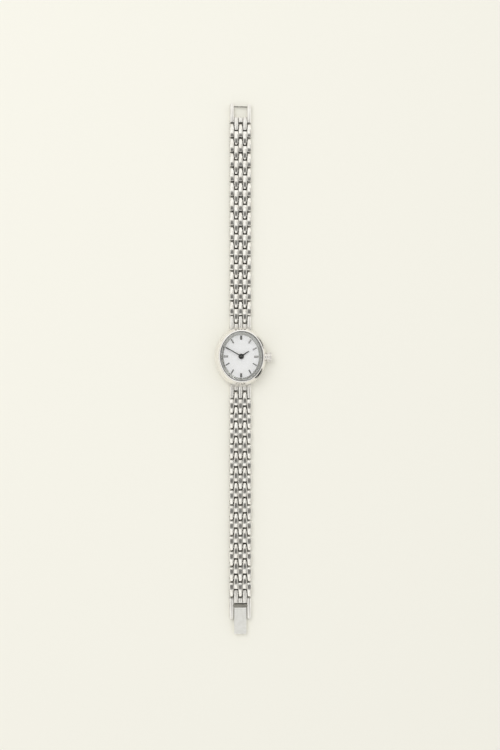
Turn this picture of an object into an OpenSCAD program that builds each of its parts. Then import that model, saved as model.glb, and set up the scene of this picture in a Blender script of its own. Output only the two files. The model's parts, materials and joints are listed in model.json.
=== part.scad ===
// Bracelet watch with an oval case, laid flat and open.
// The origin is at the centre of the case back's rest face. +Z runs up through the dial,
// +Y to 12 o'clock and the catch, and +X to the crown. All sizes are in millimetres.

/* [Case] */
// Width of the case, 9 to 3 o'clock
case_w = 18.2; // [17.6:0.1:20]
// Length of the case, 12 to 6 o'clock
case_l = 20.8; // [20.4:0.1:24]
// Thickness of the case wall at its widest line
case_wall = 1.55; // [1.5:0.05:1.75]
// Height of the widest line, and of the crown's axis, above the rest face
belly_z = 2.4; // [2.3:0.05:2.5]
// Radius of the bulge of the flank
belly_r = 3.2; // [3:0.1:5]
// Thickness of the case back's flange
back_flange = 0.5; // [0.4:0.05:0.6]
// Thickness of the case back's floor
back_floor = 0.7; // [0.6:0.05:0.75]
// How far the flange stays inside the case's outline
back_inset = 0.9; // [0.8:0.05:1.1]
// Height of the case back's spigot above its flange
spigot_h = 0.5; // [0.4:0.05:0.6]
// Wall of the case back's spigot
spigot_wall = 0.57; // [0.5:0.01:0.7]

/* [Bezel and crystal] */
// How far the bezel stays inside the case's outline
bezel_inset = 1; // [0.85:0.05:1.1]
// Height of the neck that the bezel is pressed on
neck_h = 0.5; // [0.3:0.05:0.6]
// Wall of that neck
neck_wall = 0.35; // [0.3:0.05:0.4]
// Radius of the bezel's rounded top
bezel_r = 0.8; // [0.75:0.05:1.2]
// Width of the bezel's lip under the crystal's gasket
lip_w = 0.25; // [0.2:0.05:0.35]
// Thickness of that lip
lip_t = 0.15; // [0.1:0.05:0.25]
// Thickness of the crystal's gasket
gasket_t = 0.15; // [0.12:0.01:0.2]
// Thickness of the crystal
crystal_t = 0.9; // [0.7:0.05:1.2]
// Bevel round the crystal's top edge
crystal_bevel = 0.12; // [0.05:0.01:0.2]

/* [Dial and hands] */
// Width of the dial ring, from the case wall inwards
dial_ring_w = 1.2; // [0.8:0.05:1.3]
// Thickness of the dial
dial_t = 0.4; // [0.3:0.05:0.5]
// Room for the hands between dial and crystal
hand_room = 1.2; // [1.15:0.05:1.6]
// Thickness of the hour markers
marker_t = 0.2; // [0.1:0.05:0.3]
// Gap between a marker's outer end and the dial ring
marker_gap = 0.2; // [0.1:0.05:0.5]
// Length of the markers at the quarters
quarter_l = 1.5; // [1:0.05:1.8]
// Width of the markers at the quarters
quarter_w = 0.75; // [0.5:0.05:0.9]
// Length of the other markers
hour_l = 1.6; // [1:0.05:1.8]
// Width of the other markers
hour_w = 0.4; // [0.2:0.05:0.6]
// How far the minute hand reaches over the slope of the dial ring at 3 and 9 o'clock
minute_hand_over = 0.35; // [-0.8:0.05:0.4]
// Length of the hour hand from its axis
hour_hand_l = 3.5; // [2.8:0.1:4.2]
// Thickness of both hands
hand_t = 0.15; // [0.1:0.01:0.18]
// Width of the minute hand at its boss
minute_hand_w = 0.44; // [0.3:0.02:0.6]
// Width of the hour hand at its boss
hour_hand_w = 0.52; // [0.3:0.02:0.7]
// Radius of the minute hand's boss
minute_boss_r = 0.72; // [0.5:0.02:0.8]
// Radius of the hour hand's boss
hour_boss_r = 0.95; // [0.8:0.05:1.1]
// Direction of the minute hand, clockwise from 12
minute_angle = 300; // [0:6:354]
// Direction of the hour hand, clockwise from 12
hour_angle = 55; // [0:5:355]

/* [Crown] */
// Diameter of the crown
crown_d = 3.5; // [3:0.1:4]
// Length of the crown
crown_l = 1.85; // [1.7:0.05:2.3]
// Gap between the case and the crown, pushed in
crown_gap = 0.2; // [0.15:0.05:0.4]
// How far the crown pulls out to set the hands
crown_pull = 0.6; // [0.4:0.05:0.7]
// Number of grooves round the crown
flutes = 26; // [18:1:32]
// Radius of the grooves
flute_r = 0.12; // [0.08:0.01:0.16]
// Outer radius of the crown tube
tube_r = 0.75; // [0.7:0.01:0.8]
// Radius of the stem
stem_r = 0.35; // [0.3:0.01:0.4]

/* [Bracelet] */
// Number of links in each half
links = 13; // [8:1:13]
// Distance from one hinge pin to the next
pitch = 5.4; // [5.2:0.05:6.5]
// Distance from the case's end to its lug pin
lug_reach = 3.1; // [2.9:0.05:3.4]
// Distance from one of the five columns to the next
column_w = 1.56; // [1.5:0.02:1.8]
// Gap between neighbouring columns
column_gap = 0.22; // [0.12:0.02:0.3]
// Angle by which each side of a finger leans in towards its tip
finger_draft = 2.2; // [0:0.1:2.4]
// Thickness of the links
link_t = 2; // [1.8:0.05:2.2]
// How far a finger reaches past its pin
tip_reach = 1.3; // [1.15:0.05:1.35]
// Gap between a fingertip and the next link
tip_gap = 0.34; // [0.3:0.02:0.45]
// Radius of the rounded crest across each grain
crest_r = 0.95; // [0.85:0.05:2]
// How much lower that crest is at the ends of a grain than at its middle
crest_dip = 0.28; // [0.1:0.02:0.3]
// Radius of a fingertip, seen from the side
nose_r = 0.75; // [0.4:0.05:0.9]
// Radius of a fingertip's corners, seen from above
corner_r = 0.5; // [0.2:0.05:0.55]
// Radius of the hinge pins
pin_r = 0.4; // [0.35:0.01:0.45]

/* [Clasp] */
// Length of the ridges on the catch frame, from its hinge pin
catch_ridge_l = 3.55; // [3.3:0.05:4]
// Length of the catch frame's rails, from its hinge pin
catch_rail_l = 8.6; // [8:0.1:10]
// Distance from the end of those rails to the catch bar
catch_bar_back = 1.1; // [0.9:0.05:1.4]
// Radius of the catch bar
catch_bar_r = 0.22; // [0.18:0.01:0.28]
// Length of the ridges on the clasp frame, from its hinge pin
clasp_ridge_l = 3.4; // [3.2:0.05:4]
// Length of the clasp frame's rails, from its hinge pin
clasp_rail_l = 8.85; // [8.6:0.05:10]
// Width of the clasp plate
plate_w = 4.3; // [3.6:0.1:4.5]
// Length of the clasp plate, from its own hinge pin
plate_l = 9.9; // [9:0.1:10]
// Thickness of the clasp plate
plate_t = 0.35; // [0.3:0.05:0.5]
// Radius of the clasp plate's rolled eye
eye_r = 0.65; // [0.6:0.01:0.7]
// Radius of the pin through that eye
eye_pin_r = 0.3; // [0.25:0.01:0.35]
// Thickness of the hook under the clasp plate
hook_t = 0.35; // [0.25:0.05:0.45]

/* [Movement] */
// Wall of the plastic ring round the movement
movement_ring_w = 1; // [0.8:0.05:1.2]
// Height of the movement without its dial
movement_t = 2.55; // [2.5:0.05:2.8]
// Space between the case back and the movement
back_room = 0.25; // [0.2:0.05:0.4]
// Height of the main plate
base_t = 1.8; // [1.75:0.05:1.9]
// Thickness of the train bridge
bridge_t = 0.5; // [0.4:0.05:0.55]
// Height of the battery
battery_t = 1.65; // [1.4:0.05:1.7]
// Distance from the dial's centre to the battery, towards 6 o'clock
battery_room = 0.7; // [0.6:0.05:0.9]
// Distance from the battery to the end of the movement
battery_edge = 0.4; // [0.3:0.05:0.6]
// Module of the gears under the dial
gear_m = 0.12; // [0.1:0.005:0.12]

/* [Fits] */
// Radial play of a shaft that turns in its bore
running = 0.03; // [0.02:0.005:0.05]
// Gap round a piece that is pressed or glued in its seat
seated = 0.01; // [0.005:0.005:0.02]
// Gap round a piece that is dropped in its seat
dropped = 0.04; // [0.02:0.01:0.06]

/* [Hidden] */
$fn = 64;
// Wide overlap for cuts that run out of a piece
over = 1;

// The outline is an oval of four arcs that meet at 45 degrees. Its sizes are rounded to a hundredth,
// so that neighbouring arcs meet, and every ring of the watch is parallel to it.
oval_rise = (case_l - case_w) / 2;
arc_step = round(oval_rise * (1 + sqrt(2)) * 100) / 100;
arc_c = arc_step / sqrt(2);
case_end_r = round((case_w / 2 + oval_rise - arc_c) * 100) / 100;
function end_r(depth) = case_end_r - depth;
function side_r(depth) = case_end_r + arc_step - depth;

// Heights, from the rest face upwards
movement_z = back_floor + back_room;
dial_z = movement_z + movement_t;
dial_top = dial_z + dial_t;
crystal_z = dial_top + hand_room;
crystal_top = crystal_z + crystal_t;
lip_z = crystal_z - gasket_t - lip_t;
shoulder_z = lip_z - neck_h;
base_z = dial_z - base_t;
motion_z = dial_z - 0.75;
cannon_gear_z = motion_z + 0.1;
cannon_gear_t = 0.25;
hour_gear_z = cannon_gear_z + cannon_gear_t + 0.08;
hour_gear_t = 0.22;
hour_hand_z = dial_top + 0.38;
minute_hand_z = hour_hand_z + hand_t + 0.19;

// Depths inside the case's outline
dial_depth = case_wall + dropped;
view_depth = case_wall + dial_ring_w;
gasket_depth = case_wall + gasket_t;
movement_depth = dial_depth + movement_ring_w;
movement_w = case_w - 2 * movement_depth;
movement_l = case_l - 2 * movement_depth;
minute_hand_l = case_w / 2 - view_depth + minute_hand_over;
spigot_depth = case_wall + seated;

// Groove of the case back's seal
seal_w = 0.3;
seal_z = back_flange + 0.08;

// Bracelet
pin_z = link_t / 2;
lug_pin_y = case_l / 2 + lug_reach;
last_pin_y = lug_pin_y + links * pitch;
lug_sunk = 0.15;
lug_rise = 0.3;
lug_foot = 0.4;
lug_room = 0.34;
grain_w = column_w - column_gap;
bracelet_w = 4 * column_w + grain_w;
root_reach = tip_reach + tip_gap;
finger_l = pitch + tip_reach - root_reach;
heel = 0.25;
root_edge = 0.12;
web_inset = 0.1;
web_z = 0.2;
web_top = link_t - 0.55;
pin_l = bracelet_w - 0.16;

// Clasp
window_w = 4 * column_w - grain_w;
eye_y = clasp_ridge_l + 0.15 + eye_r;
eye_z = link_t - 0.15 - eye_r;
catch_y = clasp_rail_l + catch_bar_back;

// Heights of the catch bar, in the closed clasp, and of the plate's underside above the plate's axis
bar_z = pin_z - eye_z;
plate_z = bar_z + catch_bar_r + 0.08;

// Crown and stem
crown_x = case_w / 2 + crown_gap;
crown_gasket_x = crown_x + 0.1;
crown_gasket_w = 0.25;
tube_start = case_w / 2 - case_wall - 0.25;
tube_end = crown_gasket_x + crown_gasket_w + crown_pull + 0.1;
crown_socket = tube_end + 0.15 - crown_x;
crown_bore_r = tube_r + 0.3;
stem_seat = 0.4;

// Slot of the setting pinion, and the stem's square and pilot
slot_x = movement_w / 4;
slot_l = 1.1;
slot_w = 1.5;
square_r = 0.3;
square_start = slot_x - 0.15;
pilot_r = 0.2;
pilot_l = crown_pull + 0.2;
end_play = 0.1;
pinion_l = slot_l - 2 * end_play;

// Gears: teeth of the cannon pinion, minute wheel, its pinion and the hour wheel
cannon_teeth = 10;
minute_teeth = 30;
pinion_teeth = 8;
hour_teeth = 32;
gear_distance = gear_m * (cannon_teeth + minute_teeth) / 2;
tooth_tip = 0.85;
tooth_root = 1.2;
tooth_play = 0.15;
function tip_r(teeth) = gear_m * (teeth / 2 + tooth_tip);

// Arbor of the minute hand, pipe of the hour hand and post of the minute wheel
arbor_foot_r = 0.3;
arbor_r = 0.36;
arbor_top_r = 0.26;
arbor_end = 0.08;
pipe_r = 0.6;
pipe_top_r = 0.52;
minute_post_r = 0.18;
dial_bore_r = 0.78;

// Battery
battery_r = (movement_l / 2 - battery_edge - battery_room) / 2;
battery_y = battery_room + battery_r;

// Screws of the train bridge
screw_x = 0.37 * movement_w;
screw_y = 0.06 * movement_l;
screw_at = [[-screw_x, screw_y], [screw_x, screw_y], [0, 0.434 * movement_l]];
screw_r = 0.3;
screw_head_r = 0.55;
screw_head_t = 0.18;
screw_l = 0.6;
foot_r = 0.75;

// Coil of the motor
coil_y = 0.317 * movement_l;
coil_r = 0.55;
coil_l = 0.306 * movement_w;
core_l = 0.48 * movement_w;
core_w = 0.9;
core_t = 0.4;

// Feet of the dial
dial_feet = [[-0.395 * movement_w, -0.14 * movement_l], [0.395 * movement_w, 0.19 * movement_l]];
dial_foot_r = 0.25;
dial_foot_l = 0.6;

// Circuit board
board_w = 0.28 * movement_w;
board_l = 0.13 * movement_l;
board_x = -0.355 * movement_w;
board_y = 0.117 * movement_l;

function two_digits(i) = i < 10 ? str("0", i) : str(i);
function upper_link(i) = str("upper_link_", two_digits(i));
function lower_link(i) = str("lower_link_", two_digits(i));
function polar(r, angle) = [r * cos(angle), r * sin(angle)];

steel = "gainsboro";
satin = "silver";
brass = "khaki";
rubber = "dimgray";

// Oval outline, a depth inside the case's own
module oval(depth) {
    far = case_l;
    for (end = [-1, 1]) translate([0, end * arc_c]) circle(end_r(depth));
    intersection() {
        translate([-arc_c, 0]) circle(side_r(depth));
        translate([arc_c, 0]) circle(side_r(depth));
        polygon([[0, arc_c], [far, arc_c + far], [far, -arc_c - far],
                 [0, -arc_c], [-far, -arc_c - far], [-far, arc_c + far]]);
    }
}

module oval_plate(depth, z, height) {
    translate([0, 0, z]) linear_extrude(height) oval(depth);
}

// Sweeps a profile round the oval. Its x is 0 at the case's outline and negative inside,
// and its y is the height.
module oval_sweep() {
    for (turn = [0, 180]) rotate(turn) {
        translate([0, arc_c, 0]) rotate(45) rotate_extrude(angle = 90)
            translate([end_r(0), 0]) children();
        translate([-arc_c, 0, 0]) rotate(-45) rotate_extrude(angle = 90)
            translate([side_r(0), 0]) children();
    }
}

// Box of a profile between two depths and two heights
module band(depth_out, depth_in, z_low, z_high) {
    translate([-depth_in, z_low]) square([depth_in - depth_out, z_high - z_low]);
}

// Bar along X, centred on the plane x = 0
module cross_bar(r, length, y, z) {
    translate([-length / 2, y, z]) rotate([0, 90, 0]) cylinder(r = r, h = length);
}

// Shaft along the crown's axis
module crown_shaft(r, x_from, x_to, sides = $fn) {
    translate([x_from, 0, belly_z]) rotate([0, 90, 0]) cylinder(r = r, h = x_to - x_from, $fn = sides);
}

// Side view of a grain whose root is at 0: its tip is round on top and cut back below
module grain_side(length, root_r) {
    difference() {
        polygon([[0, 0], [length - heel, 0], [length, heel], [length, link_t], [0, link_t]]);
        translate([length - nose_r, link_t - nose_r]) difference() {
            square(nose_r);
            circle(nose_r);
        }
        translate([root_r, link_t - root_r]) rotate(90) difference() {
            square(root_r);
            circle(root_r);
        }
    }
}

// Section of a grain, level with its crest at 0: upright sides under a rounded crest
module grain_section() {
    intersection() {
        translate([-column_w / 2, -crest_r]) square([column_w, 2 * crest_r]);
        translate([0, -crest_r]) circle(crest_r);
    }
    translate([-column_w / 2, -link_t - over]) square([column_w, link_t + over - crest_r]);
}

// That section along a grain whose crest dips towards both ends, less so on a short grain
module grain_barrel(length) {
    dip = crest_dip * min(1, pow(length / finger_l, 2));
    barrel_r = length * length / (8 * dip);
    turn = 2 * asin((length + over) / (2 * barrel_r));
    translate([0, length / 2, link_t - barrel_r]) rotate([0, -90, 0]) rotate(-turn / 2)
        rotate_extrude(angle = turn) translate([barrel_r, 0]) rotate(-90) grain_section();
}

// Outline of a grain from above: grain_w wide at its middle and narrower towards its round tip
module grain_plan(length, draft) {
    root_x = grain_w / 2 + tan(draft) * length / 2;
    tangent_y = length - corner_r * (1 - sin(draft));
    tangent_x = grain_w / 2 - tan(draft) * (tangent_y - length / 2);
    corner_x = tangent_x - corner_r * cos(draft);
    polygon([[-root_x, 0], [root_x, 0], [tangent_x, tangent_y], [-tangent_x, tangent_y]]);
    translate([-corner_x, 0]) square([2 * corner_x, length]);
    for (side = [-1, 1]) translate([side * corner_x, length - corner_r]) circle(corner_r);
}

// One grain of a casting, in one of the five columns, from its root to its tip
module grain(column, root, tip, root_r = root_edge, draft = finger_draft) {
    length = abs(tip - root);
    translate([column * column_w, root, 0]) mirror([0, tip < root ? 1 : 0, 0]) intersection() {
        translate([-column_w, 0, 0]) rotate([90, 0, 90]) linear_extrude(2 * column_w)
            grain_side(length, root_r);
        grain_barrel(length);
        linear_extrude(link_t + over) grain_plan(length, draft);
    }
}

// Web that joins the five columns where they run side by side
module web(y_from, y_to) {
    translate([-bracelet_w / 2 + web_inset, y_from + web_inset, web_z])
        cube([bracelet_w - 2 * web_inset, y_to - y_from - 2 * web_inset, web_top - web_z]);
}

// One cast link with its inward pin at the origin: two fingers reach inward between the three
// of its neighbour, and three reach outward and hold the link's own hinge pin
module link_casting() {
    difference() {
        union() {
            for (column = [-2, 0, 2]) grain(column, root_reach, pitch + tip_reach);
            for (column = [-1, 1]) grain(column, pitch - root_reach, -tip_reach);
            web(root_reach, pitch - root_reach);
        }
        cross_bar(pin_r + running, bracelet_w, 0, pin_z);
        cross_bar(pin_r + seated, bracelet_w + over, pitch, pin_z);
    }
}

module link(i) {
    translate([0, lug_pin_y + (i - 1) * pitch, 0]) {
        color(steel) link_casting();
        color(satin) cross_bar(pin_r, pin_l, pitch, pin_z);
    }
}

// Ridges of an end piece, from the last hinge pin, and its two long rails
module end_frame(ridge_l, rail_l) {
    for (column = [-2, 2]) grain(column, root_reach, rail_l, draft = finger_draft / 2);
    for (column = [-1, 1]) grain(column, ridge_l, -tip_reach, nose_r);
    grain(0, root_reach, ridge_l);
    web(root_reach, ridge_l);
}

module catch_frame() {
    color(steel) translate([0, last_pin_y, 0]) difference() {
        end_frame(catch_ridge_l, catch_rail_l);
        cross_bar(pin_r + running, bracelet_w, 0, pin_z);
        cross_bar(catch_bar_r + seated, window_w + grain_w, catch_rail_l - catch_bar_back, pin_z);
    }
}

module catch_bar() {
    color(steel) translate([0, last_pin_y, 0])
        cross_bar(catch_bar_r, window_w + grain_w, catch_rail_l - catch_bar_back, pin_z);
}

module at_clasp() {
    rotate(180) translate([0, last_pin_y, 0]) children();
}

module clasp_frame() {
    color(steel) at_clasp() difference() {
        end_frame(clasp_ridge_l, clasp_rail_l);
        cross_bar(pin_r + running, bracelet_w, 0, pin_z);
        cross_bar(eye_pin_r + seated, window_w + grain_w, eye_y, eye_z);
    }
}

module clasp_hinge_pin() {
    color(satin) at_clasp() cross_bar(eye_pin_r, window_w + grain_w, eye_y, eye_z);
}

// Side view of the plate from its pin: a rolled eye, the plate and the hook that grips the catch bar
module clasp_plate_side() {
    hook_gap = 0.12;
    bar_y = catch_y - eye_y;
    shank_y = bar_y + catch_bar_r + hook_gap;
    lip_top = bar_z - catch_bar_r - hook_gap;
    sunk = plate_z + plate_t / 2;
    circle(eye_r);
    translate([0, plate_z]) polygon([[0, 0], [plate_l, 0], [plate_l, plate_t - root_edge],
                                     [plate_l - root_edge, plate_t], [0, plate_t]]);
    polygon([[bar_y - catch_bar_r, lip_top - hook_t], [shank_y + hook_t / 2, lip_top - hook_t],
             [shank_y + hook_t, lip_top], [shank_y + hook_t, sunk], [shank_y, sunk],
             [shank_y, lip_top], [bar_y - catch_bar_r, lip_top]]);
}

// The plate lies in the clasp frame's window. A fine line crosses it next to its eye.
module clasp_plate() {
    line_y = eye_r + 0.7;
    line_r = 0.06;
    side_play = 0.05;
    eye_w = window_w - 2 * side_play;
    plate_corner = 0.45;
    color(satin) at_clasp() translate([0, eye_y, eye_z]) difference() {
        intersection() {
            rotate([90, 0, 90]) translate([0, 0, -eye_w / 2]) linear_extrude(eye_w) clasp_plate_side();
            translate([0, 0, -link_t]) linear_extrude(2 * link_t) {
                translate([-eye_w / 2, -eye_r]) square([eye_w, 2 * eye_r]);
                translate([-plate_w / 2, 0]) square([plate_w, plate_l - plate_corner]);
                translate([-plate_w / 2 + plate_corner, 0]) square([plate_w - 2 * plate_corner, plate_l]);
                for (side = [-1, 1])
                    translate([side * (plate_w / 2 - plate_corner), plate_l - plate_corner])
                        circle(plate_corner);
            }
        }
        cross_bar(eye_pin_r + running, eye_w + over, 0, 0);
        cross_bar(line_r, eye_w + over, line_y, plate_z + plate_t);
    }
}

// Lug block: the case's own three fingers, two short grains between them, and a web with a
// steep slope to the flank. The crests run level into the case and dip towards the fingertips.
module lug() {
    start = case_l / 2 - case_wall - over;
    root_end = lug_pin_y - root_reach;
    web_end = root_end - web_inset;
    finger_tip = lug_pin_y + tip_reach;
    slope_z = belly_z + lug_rise;
    block_w = bracelet_w - 2 * web_inset;
    difference() {
        union() {
            for (column = [-2, 0, 2]) grain(column, start, finger_tip);
            for (column = [-1, 1]) grain(column, root_end, start);
            translate([-block_w / 2, 0, 0]) rotate([90, 0, 90]) linear_extrude(block_w)
                polygon([[start, web_z], [web_end, web_z], [web_end, web_top],
                         [case_l / 2 + lug_foot, web_top], [case_l / 2 - lug_sunk, slope_z],
                         [start, slope_z]]);
        }
        translate([0, 0, -over]) linear_extrude(slope_z + 2 * over) oval(case_wall / 2);
        oval_plate(back_inset - lug_room, -over, over + back_flange);
    }
}

module mid_case() {
    color(steel) difference() {
        union() {
            oval_sweep() intersection() {
                band(0, case_wall, back_flange, shoulder_z);
                translate([-belly_r, belly_z]) circle(belly_r);
            }
            oval_sweep() band(case_wall - neck_wall, case_wall, shoulder_z, lip_z);
            for (turn = [0, 180]) rotate(turn) lug();
        }
        crown_shaft(tube_r + seated, 0, case_w);
        for (end = [-1, 1]) cross_bar(pin_r + seated, bracelet_w + over, end * lug_pin_y, pin_z);
    }
}

module lug_pins() {
    color(satin) for (end = [-1, 1]) cross_bar(pin_r, pin_l, end * lug_pin_y, pin_z);
}

module bezel() {
    skirt = case_wall - neck_wall - seated;
    lip_top = lip_z + lip_t;
    color(steel) difference() {
        oval_sweep() polygon([[-bezel_inset, shoulder_z], [-bezel_inset, crystal_top],
                              [-case_wall, crystal_top], [-case_wall, lip_top],
                              [-case_wall - lip_w, lip_top], [-case_wall - lip_w, lip_z],
                              [-skirt, lip_z], [-skirt, shoulder_z]]);
        oval_sweep() translate([-case_wall, crystal_top - bezel_r]) difference() {
            square(bezel_r + over);
            circle(bezel_r);
        }
    }
}

module crystal() {
    depth = gasket_depth + seated;
    color("white") difference() {
        oval_plate(depth, crystal_z, crystal_t);
        oval_sweep() translate([-depth, crystal_top])
            polygon([[-crystal_bevel, 0], [over, 0], [over, -crystal_bevel - over], [0, -crystal_bevel]]);
    }
}

// Seal of the crystal: its side is squeezed in the bezel and its foot carries the glass
module crystal_gasket() {
    color("white") oval_sweep() {
        band(case_wall + seated, gasket_depth, crystal_z - gasket_t, crystal_z + 0.6 * crystal_t);
        band(case_wall + seated, case_wall + lip_w, crystal_z - gasket_t, crystal_z);
    }
}

module dial_ring() {
    color("darkgray") oval_sweep()
        polygon([[-dial_depth, dial_top], [-dial_depth, lip_z], [-case_wall - lip_w, lip_z],
                 [-view_depth, dial_top + 0.12], [-view_depth, dial_top]]);
}

module dial() {
    color("white") {
        difference() {
            oval_plate(dial_depth, dial_z, dial_t);
            translate([0, 0, dial_z - over]) cylinder(r = dial_bore_r, h = dial_t + 2 * over);
        }
        for (at = dial_feet) translate([at[0], at[1], dial_z - dial_foot_l])
            cylinder(r = dial_foot_r, h = dial_foot_l);
    }
}

// Distance from the dial's centre to an oval, in a direction clockwise from 12
function reach_from(offset, r) = offset + sqrt(pow(offset, 2) + pow(r, 2) - pow(arc_c, 2));
function reach_on_side(u, depth) = reach_from(-arc_c * u[0], side_r(depth));
function reach_on_end(u, depth) = reach_from(arc_c * u[1], end_r(depth));
function first_quarter(angle) = [abs(sin(angle)), abs(cos(angle))];
function oval_reach(angle, depth) =
    let (u = first_quarter(angle), side = reach_on_side(u, depth))
    side * u[1] <= side * u[0] + arc_c ? side : reach_on_end(u, depth);

module hour_markers() {
    color("gray") for (hour = [1:12]) {
        quarter = hour % 3 == 0;
        marker_l = quarter ? quarter_l : hour_l;
        marker_w = quarter ? quarter_w : hour_w;
        outer = oval_reach(hour * 30, view_depth) - marker_gap;
        rotate(-hour * 30) translate([-marker_w / 2, outer - marker_l, dial_top])
            cube([marker_w, marker_l, marker_t]);
    }
}

// A tapered hand that points to 12, with a round boss
module hand(length, root_w, tip_w, boss_r, bore_r) {
    difference() {
        linear_extrude(hand_t) {
            circle(boss_r);
            polygon([[-root_w / 2, 0], [root_w / 2, 0], [tip_w / 2, length - tip_w], [0, length],
                     [-tip_w / 2, length - tip_w]]);
        }
        translate([0, 0, -over]) cylinder(r = bore_r, h = hand_t + 2 * over);
    }
}

module minute_hand() {
    color("dimgray") translate([0, 0, minute_hand_z]) rotate(-minute_angle)
        hand(minute_hand_l, minute_hand_w, minute_hand_w / 2, minute_boss_r, arbor_top_r + seated);
}

module hour_hand() {
    color("dimgray") translate([0, 0, hour_hand_z]) rotate(-hour_angle)
        hand(hour_hand_l, hour_hand_w, hour_hand_w / 2, hour_boss_r, pipe_top_r + seated);
}

// Gear outline with straight flanks, thinned so that a pair turns freely. A tooth lies on the x axis.
module gear(teeth, m) {
    step = 360 / teeth;
    outer = m * (teeth / 2 + tooth_tip);
    inner = m * (teeth / 2 - tooth_root);
    half_tip = (0.35 - tooth_play / 2) * m;
    half_root = (0.85 - tooth_play / 2) * m;
    tip_angle = half_tip / outer * 180 / PI;
    root_angle = min(half_root / inner * 180 / PI, step * 0.45);
    polygon([for (i = [0:teeth - 1]) for (corner = [[inner, -root_angle], [outer, -tip_angle],
                                                    [outer, tip_angle], [inner, root_angle]])
        polar(corner[0], i * step + corner[1])]);
}

// Turned in one piece: its foot in the main plate, the pinion and the arbor of the minute hand
module cannon_pinion() {
    arbor_l = minute_hand_z - cannon_gear_z;
    color("dimgray") {
        translate([0, 0, base_z + dropped]) cylinder(r = arbor_foot_r, h = cannon_gear_z - base_z);
        translate([0, 0, cannon_gear_z]) {
            linear_extrude(cannon_gear_t) rotate(90) gear(cannon_teeth, gear_m);
            cylinder(r = arbor_r, h = arbor_l);
            cylinder(r = arbor_top_r, h = arbor_l + hand_t + arbor_end);
        }
    }
}

module hour_wheel() {
    color(brass) translate([0, 0, hour_gear_z]) difference() {
        union() {
            linear_extrude(hour_gear_t) rotate(90 + 180 / hour_teeth) gear(hour_teeth, gear_m);
            cylinder(r = pipe_r, h = hour_hand_z - hour_gear_z);
            cylinder(r = pipe_top_r, h = hour_hand_z + hand_t - hour_gear_z);
        }
        translate([0, 0, -over]) cylinder(r = arbor_r + running, h = crystal_top);
    }
}

// Wheel and pinion in one, on a post of the main plate: it gears the hour wheel down
module minute_wheel() {
    color(brass) translate([0, gear_distance, cannon_gear_z]) difference() {
        union() {
            linear_extrude(cannon_gear_t) rotate(-90 + 180 / minute_teeth) gear(minute_teeth, gear_m);
            linear_extrude(hour_gear_z + hour_gear_t - cannon_gear_z) rotate(-90) gear(pinion_teeth, gear_m);
        }
        translate([0, 0, -over]) cylinder(r = minute_post_r + running, h = over + movement_t);
    }
}

// Plastic ring that centres the movement in the case
module movement_ring() {
    ring_z = back_flange + spigot_h;
    color("whitesmoke") difference() {
        oval_sweep() band(dial_depth, movement_depth - dropped, ring_z, dial_z);
        crown_shaft(tube_r + 0.15, 0, case_w);
    }
}

// Base of the movement. It carries the dial on top, and the battery, coil, board and bridge below.
module main_plate() {
    motion_gap = 0.15;
    post_foot = 0.1;
    coil_room = [coil_l + 0.6, 2 * coil_r + 0.2, 0.45];
    screw_bore_r = screw_r + seated;
    color(brass) {
        difference() {
            oval_plate(movement_depth, base_z, base_t);
            translate([0, 0, motion_z]) {
                cylinder(r = tip_r(hour_teeth) + motion_gap, h = base_t);
                translate([0, gear_distance, 0]) cylinder(r = tip_r(minute_teeth) + motion_gap, h = base_t);
            }
            translate([0, 0, base_z - over]) cylinder(r = arbor_foot_r + running, h = base_t + over);
            translate([0, -battery_y, base_z - over])
                cylinder(r = battery_r + dropped, h = movement_z + battery_t - base_z + over);
            crown_shaft(stem_r + dropped, square_start - end_play / 2, case_w);
            crown_shaft(pilot_r + dropped, square_start - pilot_l - end_play, case_w);
            translate([slot_x, -slot_w / 2, base_z - over])
                cube([slot_l, slot_w, belly_z + slot_w / 2 - base_z + over]);
            translate([-coil_room[0] / 2, coil_y - coil_room[1] / 2, base_z - over])
                cube([coil_room[0], coil_room[1], over + coil_room[2]]);
            for (at = screw_at) translate([at[0], at[1], base_z - over])
                cylinder(r = screw_bore_r, h = over + screw_l);
            for (at = dial_feet) translate([at[0], at[1], dial_z - dial_foot_l - 0.05])
                cylinder(r = dial_foot_r + dropped, h = base_t);
        }
        translate([0, gear_distance, motion_z - post_foot])
            cylinder(r = minute_post_r, h = dial_z - motion_z);
    }
}

// Plate over the wheel train, on three feet, with windows for the coil and the board
module train_bridge() {
    bridge_inset = 0.15;
    edge_y = -0.35;
    coil_window = [core_l + 0.2, 1.6];
    board_rim = 0.2;
    color(brass) difference() {
        union() {
            intersection() {
                oval_plate(movement_depth + bridge_inset, movement_z, bridge_t);
                translate([-case_w, edge_y, 0]) cube([2 * case_w, case_l, crystal_top]);
            }
            for (at = screw_at) translate([at[0], at[1], movement_z])
                cylinder(r = foot_r, h = base_z - movement_z);
        }
        translate([-coil_window[0] / 2, coil_y - coil_window[1] / 2, 0])
            cube([coil_window[0], coil_window[1], base_z]);
        translate([board_x + board_rim, board_y + board_rim, 0])
            cube([board_w - 2 * board_rim, board_l - 2 * board_rim, base_z]);
        translate([0, -battery_y, 0]) cylinder(r = battery_r + bridge_inset, h = base_z);
        for (at = screw_at) translate([at[0], at[1], 0])
            cylinder(r = screw_r + dropped, h = base_z + over);
    }
}

module bridge_screws() {
    cut_w = 0.12;
    cut_depth = 0.08;
    shank_l = base_z - movement_z + screw_l - dropped;
    color(satin) for (at = screw_at) translate([at[0], at[1], movement_z]) difference() {
        union() {
            translate([0, 0, -screw_head_t]) cylinder(r = screw_head_r, h = screw_head_t);
            cylinder(r = screw_r, h = shank_l);
        }
        translate([-screw_head_r, -cut_w / 2, -screw_head_t - over])
            cube([2 * screw_head_r, cut_w, over + cut_depth]);
    }
}

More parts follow.
